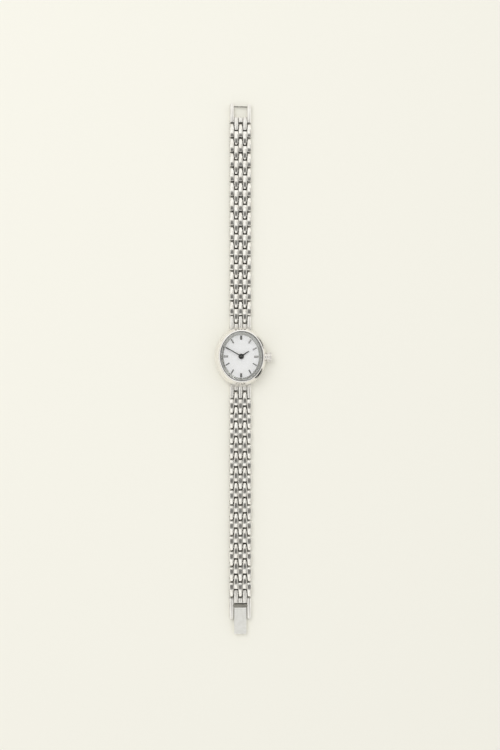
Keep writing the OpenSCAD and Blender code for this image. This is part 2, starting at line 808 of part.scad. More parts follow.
// Circuit board with its chip and the can of its quartz crystal
module circuit_board() {
    board_t = 0.18;
    chip_side = 0.6 * board_l;
    chip_t = 0.35;
    can_r = 0.32;
    can_l = 0.68 * board_l;
    sunk = 0.1;
    color("darkgreen") translate([board_x, board_y, base_z - board_t]) {
        cube([board_w, board_l, board_t]);
        translate([0.12 * board_w, 0.2 * board_l, -chip_t]) cube([chip_side, chip_side, chip_t + sunk]);
        translate([0.76 * board_w, 0.16 * board_l, sunk - can_r])
            rotate([-90, 0, 0]) cylinder(r = can_r, h = can_l);
    }
}

// Winding between two cheeks on a flat core, whose ends lie against the main plate
module motor_coil() {
    cheek = 0.2;
    cheek_side = 2 * coil_r + 0.1;
    coil_z = base_z - core_t / 2;
    color("peru") {
        cross_bar(coil_r, coil_l, coil_y, coil_z);
        translate([-core_l / 2, coil_y - core_w / 2, base_z - core_t]) cube([core_l, core_w, core_t]);
        for (side = [-1, 1])
            translate([side * coil_l / 2 - cheek / 2, coil_y - cheek_side / 2, coil_z - cheek_side / 2])
                cube([cheek, cheek_side, cheek_side]);
    }
}

module battery() {
    cap_t = 0.25;
    cap_inset = 0.35;
    color(satin) translate([0, -battery_y, movement_z]) {
        cylinder(r = battery_r, h = battery_t - cap_t);
        cylinder(r = battery_r - cap_inset, h = battery_t);
    }
}

// Sprung strap under the battery, with its ends turned up against the main plate
module battery_clip() {
    clip_t = 0.14;
    clip_w = 1.1;
    foot = 0.4;
    half = battery_r + dropped + 0.2 + foot;
    color(steel) translate([0, -battery_y, movement_z - clip_t]) {
        translate([-half, -clip_w / 2, 0]) cube([2 * half, clip_w, clip_t]);
        for (side = [-1, 1]) translate([side * (half - foot / 2) - foot / 2, -clip_w / 2, 0])
            cube([foot, clip_w, base_z - movement_z + clip_t]);
    }
}

// Snap-in back: a flange under the case, a floor and a spigot with a groove for its seal
module case_back() {
    chamfer = 0.25;
    spigot_in = spigot_depth + spigot_wall;
    spigot_top = back_flange + spigot_h;
    notch_w = 2.4;
    color(satin) difference() {
        union() {
            oval_plate(spigot_in - 0.1, 0, back_floor);
            oval_sweep() polygon([[-spigot_in, 0], [-back_inset - chamfer, 0], [-back_inset, chamfer],
                                  [-back_inset, back_flange], [-spigot_depth, back_flange],
                                  [-spigot_depth, seal_z], [-spigot_depth - seal_w, seal_z],
                                  [-spigot_depth - seal_w, seal_z + seal_w], [-spigot_depth, seal_z + seal_w],
                                  [-spigot_depth, spigot_top], [-spigot_in, spigot_top]]);
        }
        translate([-notch_w / 2, -case_l / 2, -over])
            cube([notch_w, back_inset + chamfer, over + back_flange / 2]);
    }
}

module case_back_gasket() {
    color(rubber) oval_sweep()
        band(spigot_depth, spigot_depth + seal_w - seated, seal_z + seated, seal_z + seal_w - seated);
}

// Coin-edged crown with a socket that covers the crown tube
module crown() {
    chamfer = 0.22;
    crown_r = crown_d / 2;
    color(steel) translate([0, 0, belly_z]) rotate([0, 90, 0]) difference() {
        translate([0, 0, crown_x]) rotate_extrude()
            polygon([[0, 0], [crown_r - chamfer, 0], [crown_r, chamfer], [crown_r, crown_l - chamfer],
                     [crown_r - chamfer, crown_l], [0, crown_l]]);
        translate([0, 0, crown_x - over]) cylinder(r = crown_bore_r, h = crown_socket + over);
        translate([0, 0, crown_x]) cylinder(r = stem_r + seated, h = crown_socket + stem_seat);
        for (i = [0:flutes - 1]) rotate(i * 360 / flutes)
            translate([crown_r, 0, crown_x - over]) cylinder(r = flute_r, h = crown_l + 2 * over);
    }
}

// Stem: it is fixed in the crown, grooved for the setting lever and square where the setting pinion slides
module stem() {
    shoulder = slot_x + slot_l + 0.2;
    groove_at = shoulder + 0.6;
    groove_w = 0.4;
    groove_depth = 0.12;
    color(satin) {
        difference() {
            crown_shaft(stem_r, shoulder, crown_x + crown_socket + stem_seat);
            difference() {
                crown_shaft(stem_r + over, groove_at, groove_at + groove_w);
                crown_shaft(stem_r - groove_depth, groove_at - over, groove_at + over);
            }
        }
        crown_shaft(square_r, square_start, shoulder + end_play, 4);
        crown_shaft(pilot_r, square_start - pilot_l, shoulder);
    }
}

module crown_tube() {
    color(steel) difference() {
        crown_shaft(tube_r, tube_start, tube_end);
        crown_shaft(stem_r + dropped, tube_start - over, tube_end + over);
    }
}

module crown_gasket() {
    color(rubber) difference() {
        crown_shaft(crown_bore_r - seated, crown_gasket_x, crown_gasket_x + crown_gasket_w);
        crown_shaft(tube_r + running, crown_gasket_x - over, crown_gasket_x + over);
    }
}

// Pinion on the stem's square: the stem turns it and slides through it
module setting_pinion() {
    setting_teeth = 11;
    setting_m = 0.1;
    color(brass) difference() {
        translate([slot_x + end_play, 0, belly_z]) rotate([0, 90, 0]) linear_extrude(pinion_l)
            gear(setting_teeth, setting_m);
        crown_shaft(square_r + running, slot_x - over, slot_x + slot_l + over, 4);
    }
}

mid_case();
case_back();
case_back_gasket();
bezel();
crystal();
crystal_gasket();
lug_pins();
dial_ring();
dial();
hour_markers();
hour_hand();
minute_hand();
hour_wheel();
cannon_pinion();
minute_wheel();
movement_ring();
main_plate();
train_bridge();
bridge_screws();
circuit_board();
motor_coil();
battery();
battery_clip();
crown();
stem();
crown_tube();
crown_gasket();
setting_pinion();
catch_frame();
catch_bar();
clasp_frame();
clasp_hinge_pin();
clasp_plate();
for (i = [1:links]) {
    link(i);
    rotate(180) link(i);
}
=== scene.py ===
"""Dresses a bracelet watch with an oval case, laid flat and open, in a plain studio.

Sizes are in millimetres and are turned to metres where a mesh is made. The origin is at the
centre of the case back, +Z runs up through the dial, +Y to 12 o'clock and +X to the crown.
"""

import json
import logging
import math
from dataclasses import dataclass, field
from enum import Enum
from typing import Any, Iterable, Sequence

import bmesh
import bpy
from mathutils import Matrix, Vector

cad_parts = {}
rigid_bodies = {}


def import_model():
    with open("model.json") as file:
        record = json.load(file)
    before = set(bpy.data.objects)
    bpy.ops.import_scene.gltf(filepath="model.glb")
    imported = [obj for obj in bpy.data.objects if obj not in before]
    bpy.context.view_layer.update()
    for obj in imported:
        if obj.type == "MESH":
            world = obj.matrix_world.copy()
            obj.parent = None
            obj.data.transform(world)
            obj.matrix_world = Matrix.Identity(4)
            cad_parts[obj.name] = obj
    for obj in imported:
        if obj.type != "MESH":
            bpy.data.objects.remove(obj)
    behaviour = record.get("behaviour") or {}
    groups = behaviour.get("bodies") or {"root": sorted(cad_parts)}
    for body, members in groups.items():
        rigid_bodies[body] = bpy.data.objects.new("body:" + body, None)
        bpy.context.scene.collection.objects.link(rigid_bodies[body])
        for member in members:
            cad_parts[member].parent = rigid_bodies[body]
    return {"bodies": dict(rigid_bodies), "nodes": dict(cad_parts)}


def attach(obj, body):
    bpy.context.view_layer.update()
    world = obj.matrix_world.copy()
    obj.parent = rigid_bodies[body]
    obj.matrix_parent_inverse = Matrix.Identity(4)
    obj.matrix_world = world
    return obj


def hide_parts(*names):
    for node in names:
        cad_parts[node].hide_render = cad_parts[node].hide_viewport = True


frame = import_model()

LOG = logging.getLogger("watch")
MM = 0.001
Pair = tuple[float, float]
Pairs = tuple[Pair, ...]
Triple = tuple[float, float, float]
Point = Triple
Nodes = bpy.types.NodeTree
Material = bpy.types.Material
Mesh = bpy.types.Mesh
Thing = bpy.types.Object


# Colours, nodes and meshes


def linear(colour: str) -> tuple[float, float, float, float]:
    """Turns an sRGB hex colour into a linear one.

    Args:
        colour: six hex digits, with or without a leading #.

    Returns:
        The linear red, green and blue, and an alpha of 1.
    """
    digits = colour.lstrip("#")
    parts = [int(digits[i:i + 2], 16) / 255 for i in (0, 2, 4)]
    red, green, blue = (c / 12.92 if c <= 0.04045 else ((c + 0.055) / 1.055) ** 2.4 for c in parts)
    return (red, green, blue, 1.0)


def add_node(tree: Nodes, kind: str, inputs: dict[Any, Any] | tuple[Any, ...] = (),
             out: str | int | None = 0, **settings: Any) -> Any:
    """Adds one node, with its settings and what goes into its sockets.

    Args:
        tree: the tree that gets the node.
        kind: the node's type.
        inputs: a value or an output socket for each input, by name or number or in order, or a
            list of output sockets for an input that takes several.
        out: the output to give back, by name or number, or None for all of them.
        settings: properties of the node itself.

    Returns:
        The chosen output socket, or all the outputs.
    """
    node = tree.nodes.new(kind)
    for name, value in settings.items():
        setattr(node, name, value)
    for key, given in inputs.items() if isinstance(inputs, dict) else enumerate(inputs):
        for value in given if isinstance(given, list) else [given]:
            if isinstance(value, bpy.types.NodeSocket):
                tree.links.new(value, node.inputs[key])
            else:
                node.inputs[key].default_value = value
    return node.outputs if out is None else node.outputs[out]


def per_metre(size_mm: float) -> float:
    """Gives the scale of a noise whose features are about this many millimetres wide."""
    return 1.0 / (size_mm * MM)


def empty_material(name: str) -> Material:
    """Makes a material with no nodes yet.

    Args:
        name: its name.

    Returns:
        The material.
    """
    made = bpy.data.materials.new(name)
    made.use_nodes = True
    made.node_tree.nodes.clear()
    return made


def circle(sides: int, radius: float = 1.0) -> list[Pair]:
    """Gives the corners of a regular polygon.

    Args:
        sides: how many sides it has.
        radius: from its centre to a corner.

    Returns:
        The corners, from the first axis round to the second.
    """
    turns = [2 * math.pi * i / sides for i in range(sides)]
    return [(radius * math.cos(turn), radius * math.sin(turn)) for turn in turns]


def solid_mesh(name: str, points: Iterable[Point], faces: Iterable[Sequence[int]],
               smooth_deg: float = 40.0) -> Mesh:
    """Makes a closed mesh from points in millimetres, with its faces turned outwards.

    Args:
        name: the mesh's name.
        points: its corners.
        faces: the corners' numbers for each face.
        smooth_deg: edges sharper than this stay sharp.

    Returns:
        The mesh, in metres.
    """
    mesh = bpy.data.meshes.new(name)
    work = bmesh.new()
    verts = [work.verts.new(Vector(p) * MM) for p in points]
    for face in faces:
        work.faces.new([verts[i] for i in face]).smooth = True
    bmesh.ops.recalc_face_normals(work, faces=work.faces)
    work.to_mesh(mesh)
    work.free()
    mesh.set_sharp_from_angle(angle=math.radians(smooth_deg))
    return mesh


def loft(name: str, sections: Sequence[Sequence[Point]], smooth_deg: float = 40.0) -> Mesh:
    """Joins closed sections with the same number of points, and closes both ends.

    Args:
        name: the mesh's name.
        sections: rings of points in millimetres.
        smooth_deg: edges sharper than this stay sharp.

    Returns:
        The mesh, in metres.
    """
    count = len(sections[0])
    points = [p for ring in sections for p in ring]
    faces = [list(range(count)), list(range(len(points) - count, len(points)))]
    for low in range(0, len(points) - count, count):
        high = low + count
        for i in range(count):
            j = (i + 1) % count
            faces.append([low + i, low + j, high + j, high + i])
    return solid_mesh(name, points, faces, smooth_deg)


def closed_sweep(name: str, sections: Sequence[Sequence[Point]]) -> Mesh:
    """Joins closed sections into a ring, the last one to the first.

    Args:
        name: the mesh's name.
        sections: rings of points in millimetres, all with the same number of points.

    Returns:
        The mesh, in metres.
    """
    count = len(sections[0])
    points = [p for section in sections for p in section]
    faces = []
    for near in range(0, len(points), count):
        far = (near + count) % len(points)
        for i in range(count):
            j = (i + 1) % count
            faces.append([near + i, near + j, far + j, far + i])
    return solid_mesh(name, points, faces)


def rod(name: str, profile: Iterable[Pair], y: float, z: float, sides: int = 20) -> Mesh:
    """Makes a round rod along X.

    Args:
        name: the mesh's name.
        profile: place along X and radius of each corner of its outline.
        y: where its axis lies along Y.
        z: height of its axis.
        sides: how many sides it has.

    Returns:
        The mesh, in metres.
    """
    return loft(name, [[(x, y + across, z + up) for across, up in circle(sides, radius)]
                       for x, radius in profile])


def place_mesh(mesh: Mesh, name: str) -> Thing:
    """Puts a mesh in the scene as an object at the origin.

    Args:
        mesh: the mesh.
        name: the object's name.

    Returns:
        The object.
    """
    thing = bpy.data.objects.new(name, mesh)
    bpy.context.scene.collection.objects.link(thing)
    return thing


def plain_mesh(thing: Thing) -> Mesh:
    """Gives a new mesh of an object as its modifiers leave it."""
    graph = bpy.context.evaluated_depsgraph_get()
    return bpy.data.meshes.new_from_object(thing.evaluated_get(graph))


def remove(*things: Thing) -> None:
    """Removes objects that have done their work."""
    for thing in things:
        bpy.data.objects.remove(thing)


# Geometry Nodes


def new_tree(name: str, sockets: dict[str, str]) -> tuple[Nodes, Any]:
    """Starts a Geometry Nodes tree.

    Args:
        name: the tree's name.
        sockets: type of each named input, such as Float, Object or Material.

    Returns:
        The tree and the outputs of its input node.
    """
    tree = bpy.data.node_groups.new(name, "GeometryNodeTree")
    tree.interface.new_socket(name="Geometry", in_out="OUTPUT", socket_type="NodeSocketGeometry")
    for label, kind in sockets.items():
        tree.interface.new_socket(name=label, in_out="INPUT", socket_type=f"NodeSocket{kind}")
    return tree, add_node(tree, "NodeGroupInput", out=None)


def end_tree(tree: Nodes, parts: list[Any], height: Any, finish: Any) -> Nodes:
    """Joins and lifts a tree's parts, and ends it in Realize Instances and Set Material.

    Args:
        tree: the tree.
        parts: the geometry sockets to join.
        height: the socket with the height that they are lifted to.
        finish: the socket with their material.

    Returns:
        The tree.
    """
    both = add_node(tree, "GeometryNodeJoinGeometry", {0: parts})
    lift = add_node(tree, "ShaderNodeCombineXYZ", {2: height})
    raised = add_node(tree, "GeometryNodeTransform", {"Geometry": both, "Translation": lift})
    real = add_node(tree, "GeometryNodeRealizeInstances", {0: raised})
    dressed = add_node(tree, "GeometryNodeSetMaterial", {"Geometry": real, "Material": finish})
    add_node(tree, "NodeGroupOutput", {0: dressed}, None)
    return tree


def grow(name: str, tree: Nodes, values: dict[str, Any]) -> Thing:
    """Runs a tree once and keeps its result as a plain mesh.

    Args:
        name: the new piece's name.
        tree: the tree to run.
        values: what goes into its named inputs.

    Returns:
        The piece, at the origin and without modifiers.
    """
    piece = place_mesh(bpy.data.meshes.new(name), name)
    modifier = piece.modifiers.new("grow", "NODES")
    modifier.node_group = tree
    ports = {item.name: item.identifier for item in tree.interface.items_tree
             if item.in_out == "INPUT"}
    for label, value in values.items():
        modifier[ports[label]] = value
    plain = plain_mesh(piece)
    piece.modifiers.remove(modifier)
    piece.data = plain
    return piece


# Finishes

# Inputs of a Mix node for its two colours, and its output for the mixed one. A Map Range node
# takes, in order, its value, the range that this comes from and the range that it goes to.
FIRST, SECOND, MIXED = 6, 7, 2
# What a noise mostly keeps to, for one with fine detail and for a smooth one.
FINE_SPAN = (0.3, 0.7)
SMOOTH_SPAN = (0.35, 0.65)
# The least roughness that a finish may drift to.
SMOOTHEST = 0.02
# Handling scratches: their directions, their width, how sparse they are (the noise's values from
# which they begin and are full) and how much rougher they are than what is round them.
SCRATCH_TURNS_DEG = (24.0, 71.0, 152.0)
SCRATCH_MM = 0.03
SCRATCH_SPAN = (0.66, 0.74)
SCRATCH_ROUGH = 0.16
# Rubbed edges: how far the rub reaches, the cosines between the true normal and the rounded one
# from which it begins and is full, and how much rougher it is.
EDGE_MM = 0.08
EDGE_SPAN = (0.995, 0.93)
EDGE_ROUGH = 0.08
# Painted shade in recesses: how far a surface looks for another, and the openness from full shade
# to none.
RECESS_MM = 0.7
RECESS_SPAN = (0.3, 0.84)


class Lay(Enum):
    """How the marks of a finish run, as the scales of their pattern along X, Y and Z."""

    EVEN = (1.0, 1.0, 1.0)
    LENGTHWISE = (1.0, 0.03, 1.0)
    ACROSS = (0.03, 1.0, 1.0)
    WOUND = (1.0, 0.02, 0.02)
    HAIRLINE = (1.0, 0.03, 0.4)


@dataclass(frozen=True)
class Finish:
    """A finish of one material, with its marks sized in millimetres.

    Attributes:
        name: the material's own name.
        colour: main colour, as sRGB hex.
        shade: colour that the surface drifts to here and there.
        roughness: mean roughness.
        marks_mm: width and depth of its marks.
        waves_mm: width and depth of the slow waves that casting, pressing or polishing leaves.
        lay: how its marks run.
        drift: how far the roughness drifts either way.
        metallic: 1 for bare metal and 0 for the rest.
        scratch: how much the handling scratches roughen it, from 0 to 1.
        recess_shade: how much painted shade darkens its recesses, from 0 to 1.
        wear: how far its edges take the worn colour, from 0 to 1.
        worn: colour along its edges, as sRGB hex.
    """

    name: str
    colour: str
    shade: str
    roughness: float
    marks_mm: Pair
    waves_mm: Pair = (2.0, 0.0)
    lay: Lay = Lay.EVEN
    drift: float = 0.06
    metallic: float = 1.0
    scratch: float = 0.0
    recess_shade: float = 0.0
    wear: float = 0.0
    worn: str = "FFFFFF"

    def material(self) -> Material:
        """Builds the material once, and gives the same one afterwards.

        Returns:
            The material of this finish.
        """
        if self.name in bpy.data.materials:
            return bpy.data.materials[self.name]
        made = empty_material(self.name)
        tree = made.node_tree
        (mark_w, mark_depth), (wave_w, wave_depth) = self.marks_mm, self.waves_mm
        place = add_node(tree, "ShaderNodeTexCoord", out="Object")
        along = add_node(tree, "ShaderNodeMapping", {"Vector": place, "Scale": self.lay.value})
        marks, waves = (add_node(tree, "ShaderNodeTexNoise", {
            "Vector": where, "Scale": per_metre(width), "Detail": detail})
            for where, width, detail in ((along, mark_w, 3.0), (place, wave_w, 1.0)))
        rough = add_node(tree, "ShaderNodeMapRange", (
            marks, *FINE_SPAN, max(self.roughness - self.drift, SMOOTHEST),
            self.roughness + self.drift))
        drift = add_node(tree, "ShaderNodeMapRange", (waves, *SMOOTH_SPAN))
        colour = add_node(tree, "ShaderNodeMix", {
            0: drift, FIRST: linear(self.colour), SECOND: linear(self.shade)}, MIXED,
            data_type="RGBA")
        if self.scratch > 0:
            rough = add_node(tree, "ShaderNodeMath", (rough, self.scratches(tree, place)),
                             operation="ADD")
        if self.wear > 0:
            colour, rough = self.rubbed(tree, colour, rough)
        # Painted shade: the colour gets darker in recesses, where nearby surfaces are found.
        if self.recess_shade > 0:
            colour = self.recesses(tree, colour)
        colour, rough = self.local_changes(tree, place, colour, rough)
        slow = add_node(tree, "ShaderNodeBump", {"Height": waves, "Distance": wave_depth * MM})
        bump = add_node(tree, "ShaderNodeBump", {
            "Height": marks, "Distance": mark_depth * MM, "Normal": slow})
        shader = add_node(tree, "ShaderNodeBsdfPrincipled", {
            "Base Color": colour, "Roughness": rough, "Normal": bump, "Metallic": self.metallic})
        add_node(tree, "ShaderNodeOutputMaterial", {"Surface": shader}, None)
        return made

    def local_changes(self, tree: Nodes, place: Any, colour: Any, rough: Any) -> tuple[Any, Any]:
        """Gives back the colour and roughness, which a finish with a special place changes."""
        return colour, rough

    def scratches(self, tree: Nodes, place: Any) -> Any:
        """Draws sparse hairlines about 1 mm long, such as handling leaves.

        They are drawn 0.03 mm wide, because real ones of 0.005 mm would not show.

        Args:
            tree: the material's tree.
            place: the socket with the place on the piece.

        Returns:
            The socket with the roughness that they add.
        """
        total: Any = 0.0
        for turn_deg in SCRATCH_TURNS_DEG:
            turned = add_node(tree, "ShaderNodeMapping", {
                "Vector": place, "Rotation": (0.4, 0.3, math.radians(turn_deg)),
                "Scale": Lay.HAIRLINE.value})
            noise = add_node(tree, "ShaderNodeTexNoise", {
                "Vector": turned, "Scale": per_metre(SCRATCH_MM), "Detail": 0.0})
            line = add_node(tree, "ShaderNodeMapRange", (
                noise, *SCRATCH_SPAN, 0.0, SCRATCH_ROUGH * self.scratch))
            total = add_node(tree, "ShaderNodeMath", (total, line), operation="ADD")
        return total

    def rubbed(self, tree: Nodes, colour: Any, rough: Any) -> tuple[Any, Any]:
        """Recolours and roughens the edges that hands and cloths rub.

        Args:
            tree: the material's tree.
            colour: the socket with the colour elsewhere.
            rough: the socket with the roughness elsewhere.

        Returns:
            The sockets with the changed colour and roughness.
        """
        rounded = add_node(tree, "ShaderNodeBevel", {"Radius": EDGE_MM * MM}, samples=4)
        true = add_node(tree, "ShaderNodeNewGeometry", out="Normal")
        same = add_node(tree, "ShaderNodeVectorMath", (rounded, true), "Value",
                        operation="DOT_PRODUCT")
        edge = add_node(tree, "ShaderNodeMapRange", (same, *EDGE_SPAN))
        share, more = (add_node(tree, "ShaderNodeMath", (edge, part), operation="MULTIPLY")
                       for part in (self.wear, EDGE_ROUGH))
        return (add_node(tree, "ShaderNodeMix", {
                    0: share, FIRST: colour, SECOND: linear(self.worn)}, MIXED, data_type="RGBA"),
                add_node(tree, "ShaderNodeMath", (rough, more), operation="ADD"))

    def recesses(self, tree: Nodes, colour: Any) -> Any:
        """Paints shade into narrow gaps, darkening the colour where ambient occlusion finds nearby
        surfaces.

        Args:
            tree: the material's tree.
            colour: the socket with the colour before its painted shade.

        Returns:
            The socket with the darkened colour.
        """
        reach = add_node(tree, "ShaderNodeAmbientOcclusion", {"Distance": RECESS_MM * MM}, "AO",
                         samples=8)
        unshaded = add_node(tree, "ShaderNodeMapRange", (
            reach, *RECESS_SPAN, 1.0 - self.recess_shade, 1.0))
        return add_node(tree, "ShaderNodeMix", {0: 1.0, FIRST: colour, SECOND: unshaded}, MIXED,
                        data_type="RGBA", blend_type="MULTIPLY")


@dataclass(frozen=True)
class ShadedRollPlate(Finish):
    """Satin plate whose rolled end is darkened with painted shade, streaked across.

    Attributes:
        roll_y_mm: where the roll lies, from its outer to its inner side.
        blur_mm: how far its ends fade either way.
        roll_shade: colour of the painted shade on the roll, as sRGB hex.
        streak_mm: width of the streaks across that shade.
        streak_tones: how dark and how light the streaks are.
        roll_rough: how much rougher the roll is.
    """

    roll_y_mm: Pair = (-88.55, -87.25)
    blur_mm: float = 0.03
    roll_shade: str = "A9A69E"
    streak_mm: float = 0.12
    streak_tones: Pair = (0.75, 1.1)
    roll_rough: float = 0.12

    def local_changes(self, tree: Nodes, place: Any, colour: Any, rough: Any) -> tuple[Any, Any]:
        """Paints shade on the roll, with streaks across it, and roughens it.

        Args:
            tree: the material's tree.
            place: the socket with the place on the piece.
            colour: the socket with the plate's colour.
            rough: the socket with the plate's roughness.

        Returns:
            The sockets with the changed colour and roughness.
        """
        (outer, inner), blur = self.roll_y_mm, self.blur_mm
        along = add_node(tree, "ShaderNodeSeparateXYZ", {0: place}, 1)
        after = add_node(tree, "ShaderNodeMapRange", (
            along, (outer - blur) * MM, (outer + blur) * MM))
        before = add_node(tree, "ShaderNodeMapRange", (
            along, (inner + blur) * MM, (inner - blur) * MM))
        roll = add_node(tree, "ShaderNodeMath", (after, before), operation="MULTIPLY")
        across = add_node(tree, "ShaderNodeMapping", {"Vector": place, "Scale": Lay.ACROSS.value})
        streaks = add_node(tree, "ShaderNodeTexNoise", {
            "Vector": across, "Scale": per_metre(self.streak_mm), "Detail": 1.0})
        tone = add_node(tree, "ShaderNodeMapRange", (streaks, *SMOOTH_SPAN, *self.streak_tones))
        # Painted shade: the roll's colour, streaked lighter and darker.
        dark = add_node(tree, "ShaderNodeMix", {
            0: 1.0, FIRST: linear(self.roll_shade), SECOND: tone}, MIXED,
            data_type="RGBA", blend_type="MULTIPLY")
        more = add_node(tree, "ShaderNodeMath", (roll, self.roll_rough), operation="MULTIPLY")
        return (add_node(tree, "ShaderNodeMix", {0: roll, FIRST: colour, SECOND: dark}, MIXED,
                         data_type="RGBA"),
                add_node(tree, "ShaderNodeMath", (rough, more), operation="ADD"))


@dataclass(frozen=True)
class Glass:
    """Clear mineral glass, ground and polished flat.

    Attributes:
        name: the material's own name.
        colour: colour of the light that passes through, as sRGB hex.
        ior: index of refraction.
        wipe_mm: width of the faint traces that wiping leaves.
        wipe_rough: how rough they are.
    """

    name: str = "mineral glass, polished"
    colour: str = "FFFFFF"
    ior: float = 1.52
    wipe_mm: float = 3.0
    wipe_rough: float = 0.02

    def material(self) -> Material:
        """Builds the glass, which lets the studio's light through to the dial.

        Returns:
            The material of the glass.
        """
        if self.name in bpy.data.materials:
            return bpy.data.materials[self.name]
        made = empty_material(self.name)
        tree = made.node_tree
        place = add_node(tree, "ShaderNodeTexCoord", out="Object")
        wipes = add_node(tree, "ShaderNodeTexNoise", {
            "Vector": place, "Scale": per_metre(self.wipe_mm), "Detail": 2.0})
        rough = add_node(tree, "ShaderNodeMapRange", (wipes, 0.4, 0.7, 0.0, self.wipe_rough))
        shader = add_node(tree, "ShaderNodeBsdfPrincipled", {
            "Base Color": linear(self.colour), "Roughness": rough, "IOR": self.ior,
            "Transmission Weight": 1.0})
        clear = add_node(tree, "ShaderNodeBsdfTransparent", {"Color": linear(self.colour)})
        path = add_node(tree, "ShaderNodeLightPath", out=None)
        soft = add_node(tree, "ShaderNodeMath", (path["Is Shadow Ray"], path["Is Diffuse Ray"]),
                        operation="MAXIMUM")
        mixed = add_node(tree, "ShaderNodeMixShader", (soft, shader, clear))
        add_node(tree, "ShaderNodeOutputMaterial", {"Surface": mixed}, None)
        return made


# Stainless steel, turned and buffed on soft wheels: a warm mirror with slight waves, fine
# wheel marks and the hairlines of use. The marks are drawn wider than the real 0.01 mm.
POLISHED_STEEL = Finish("stainless steel, polished", "F9F7F4", "F2EFEB", 0.12, (0.09, 0.0004),
                        (1.6, 0.006), drift=0.05, scratch=0.6, wear=0.5)
# The crown's coin edge is rolled in and only lightly buffed: a softer sheen.
EDGED_STEEL = Finish("stainless steel, rolled edge", "FAF7F2", "F3EFE9", 0.26, (0.06, 0.0005),
                     (1.6, 0.003), Lay.ACROSS, scratch=0.4, wear=0.5)
# Cast links get the same buffing, and painted shade darkens them between their grains.
# Casting leaves them slightly wavy.
CAST_STEEL = Finish("stainless steel, cast and polished", "F8F6F0", "EDE9E1", 0.10, (0.08, 0.0006),
                    (1.1, 0.012), drift=0.05, scratch=0.7, recess_shade=0.95, wear=0.4)
# The case's body and the end frames are tumbled after casting: the same warm steel with a
# softer sheen, which draws no hard lines along their grains.
# Painted shade darkens its recesses.
TUMBLED_STEEL = Finish("stainless steel, cast and tumbled", "FBF9F4", "F4F1EB", 0.42,
                       (0.08, 0.0006), (1.3, 0.006), drift=0.05, scratch=0.5, recess_shade=0.7, wear=0.4)
# Ground pins: a fine lathe finish, greyer than the polished links.
# Painted shade darkens its recesses.
PIN_STEEL = Finish("stainless steel, ground", "D2D0C9", "C6C4BD", 0.24, (0.05, 0.0006),
                   (1.5, 0.002), Lay.ACROSS, drift=0.07, recess_shade=0.5, wear=0.3)
# The catch bar is drawn wire: smooth, and darker than the pins, which is painted shade for the
# shaded window that it spans.
SHADED_WIRE_STEEL = Finish("stainless steel, drawn wire", "A09E98", "92908A", 0.22, (0.05, 0.0006),
                    (1.5, 0.002), Lay.ACROSS, wear=0.3)
# Pressed steel brushed along its length: a pale silky sheen with straight hairlines.
# Painted shade darkens its recesses.
SATIN_STEEL = Finish("stainless steel, satin", "E3E1DA", "D8D6CE", 0.30, (0.06, 0.0010),
                     (1.5, 0.003), Lay.LENGTHWISE, drift=0.08, scratch=0.5, recess_shade=0.4, wear=0.5)
# The clasp's pressed plate has a duller and paler satin, with painted shade streaked across its
# roll.
# Painted shade also darkens its recesses.
PLATE_STEEL = ShadedRollPlate("stainless steel, satin plate", "FFFEFA", "F9F8F3", 0.56, (0.06, 0.0010),
                          (1.5, 0.003), Lay.LENGTHWISE, drift=0.08, scratch=0.5, recess_shade=0.4,
                          wear=0.4)
# Finely bead-blasted steel of the dial ring: a silky grey that mirrors only light and dark.
BLASTED_STEEL = Finish("steel, bead blasted", "D3D4D1", "C9CAC6", 0.22, (0.05, 0.002), drift=0.05)
# Brass dial under matt white lacquer: flat and only just grainy.
DIAL_PAINT = Finish("brass, matt white lacquer", "F5F5F4", "F2F2F0", 0.55, (0.06, 0.0008),
                    metallic=0.0)
# Applied markers of diamond-cut steel: each facet mirrors the bezel or the sky, so they look
# dark grey to silver.
MARKER_STEEL = Finish("steel, diamond cut", "B2B2AF", "A2A29F", 0.16, (0.05, 0.0006),
                      wear=0.3, worn="A8A8A5")
# Blackened hands: smooth and dark, a little lighter along their edges.
HAND_STEEL = Finish("steel, blackened and polished", "4E4E4C", "424240", 0.26, (0.06, 0.0004),
                    wear=0.4, worn="8A8A88")
# Nylon seal, moulded: dark grey and slightly glossy. Its dark grey is partly painted shade, for the
# thin dark line along the bezel's inner edge.
NYLON = Finish("nylon, moulded", "3A3A39", "333332", 0.42, (0.08, 0.0008), metallic=0.0)
# Nitrile rubber seal: black and dull.
RUBBER = Finish("nitrile rubber", "232323", "1C1C1C", 0.62, (0.06, 0.001), drift=0.08,
                metallic=0.0)
# Acetal spacer ring, moulded: milky white.
ACETAL = Finish("acetal, moulded", "E4E3DE", "DCDBD5", 0.4, (0.09, 0.001), metallic=0.0)
# Stamped brass of the movement: warm yellow with a straight grain.
BRASS = Finish("brass, stamped and grained", "D9BC7A", "CDAF6C", 0.3, (0.05, 0.0008),
               lay=Lay.LENGTHWISE, drift=0.07, wear=0.4, worn="EAD39A")
# Glass-epoxy board under green lacquer: smooth and slightly glossy.
LAMINATE = Finish("glass epoxy, green lacquer", "2E5B3C", "274F34", 0.35, (0.1, 0.001),
                  metallic=0.0)
# Enamelled copper wire in close turns: a warm ribbed gleam.
COPPER = Finish("copper wire, enamelled", "B06A3B", "9C5A30", 0.28, (0.05, 0.004), lay=Lay.WOUND)
# Nickel-plated can of the battery, drawn and lightly brushed: a cool, bright sheen.
NICKEL = Finish("nickel-plated steel, drawn", "D5D3CB", "CBC9C0", 0.2, (0.06, 0.0006),
                lay=Lay.ACROSS, scratch=0.6, wear=0.4)
# The crystal's flat glass: clear, with faint traces of wiping.
GLASS = Glass()


# Solids that keep their own shape


def coat(name: str, finish: Finish | Glass) -> Thing:
    """Gives a solid of the frame its finish.

    Args:
        name: the solid's node.
        finish: what it is finished with.

    Returns:
        The solid's object.
    """
    node = frame["nodes"][name]
    for place in node.material_slots:
        place.material = finish.material()
    return node


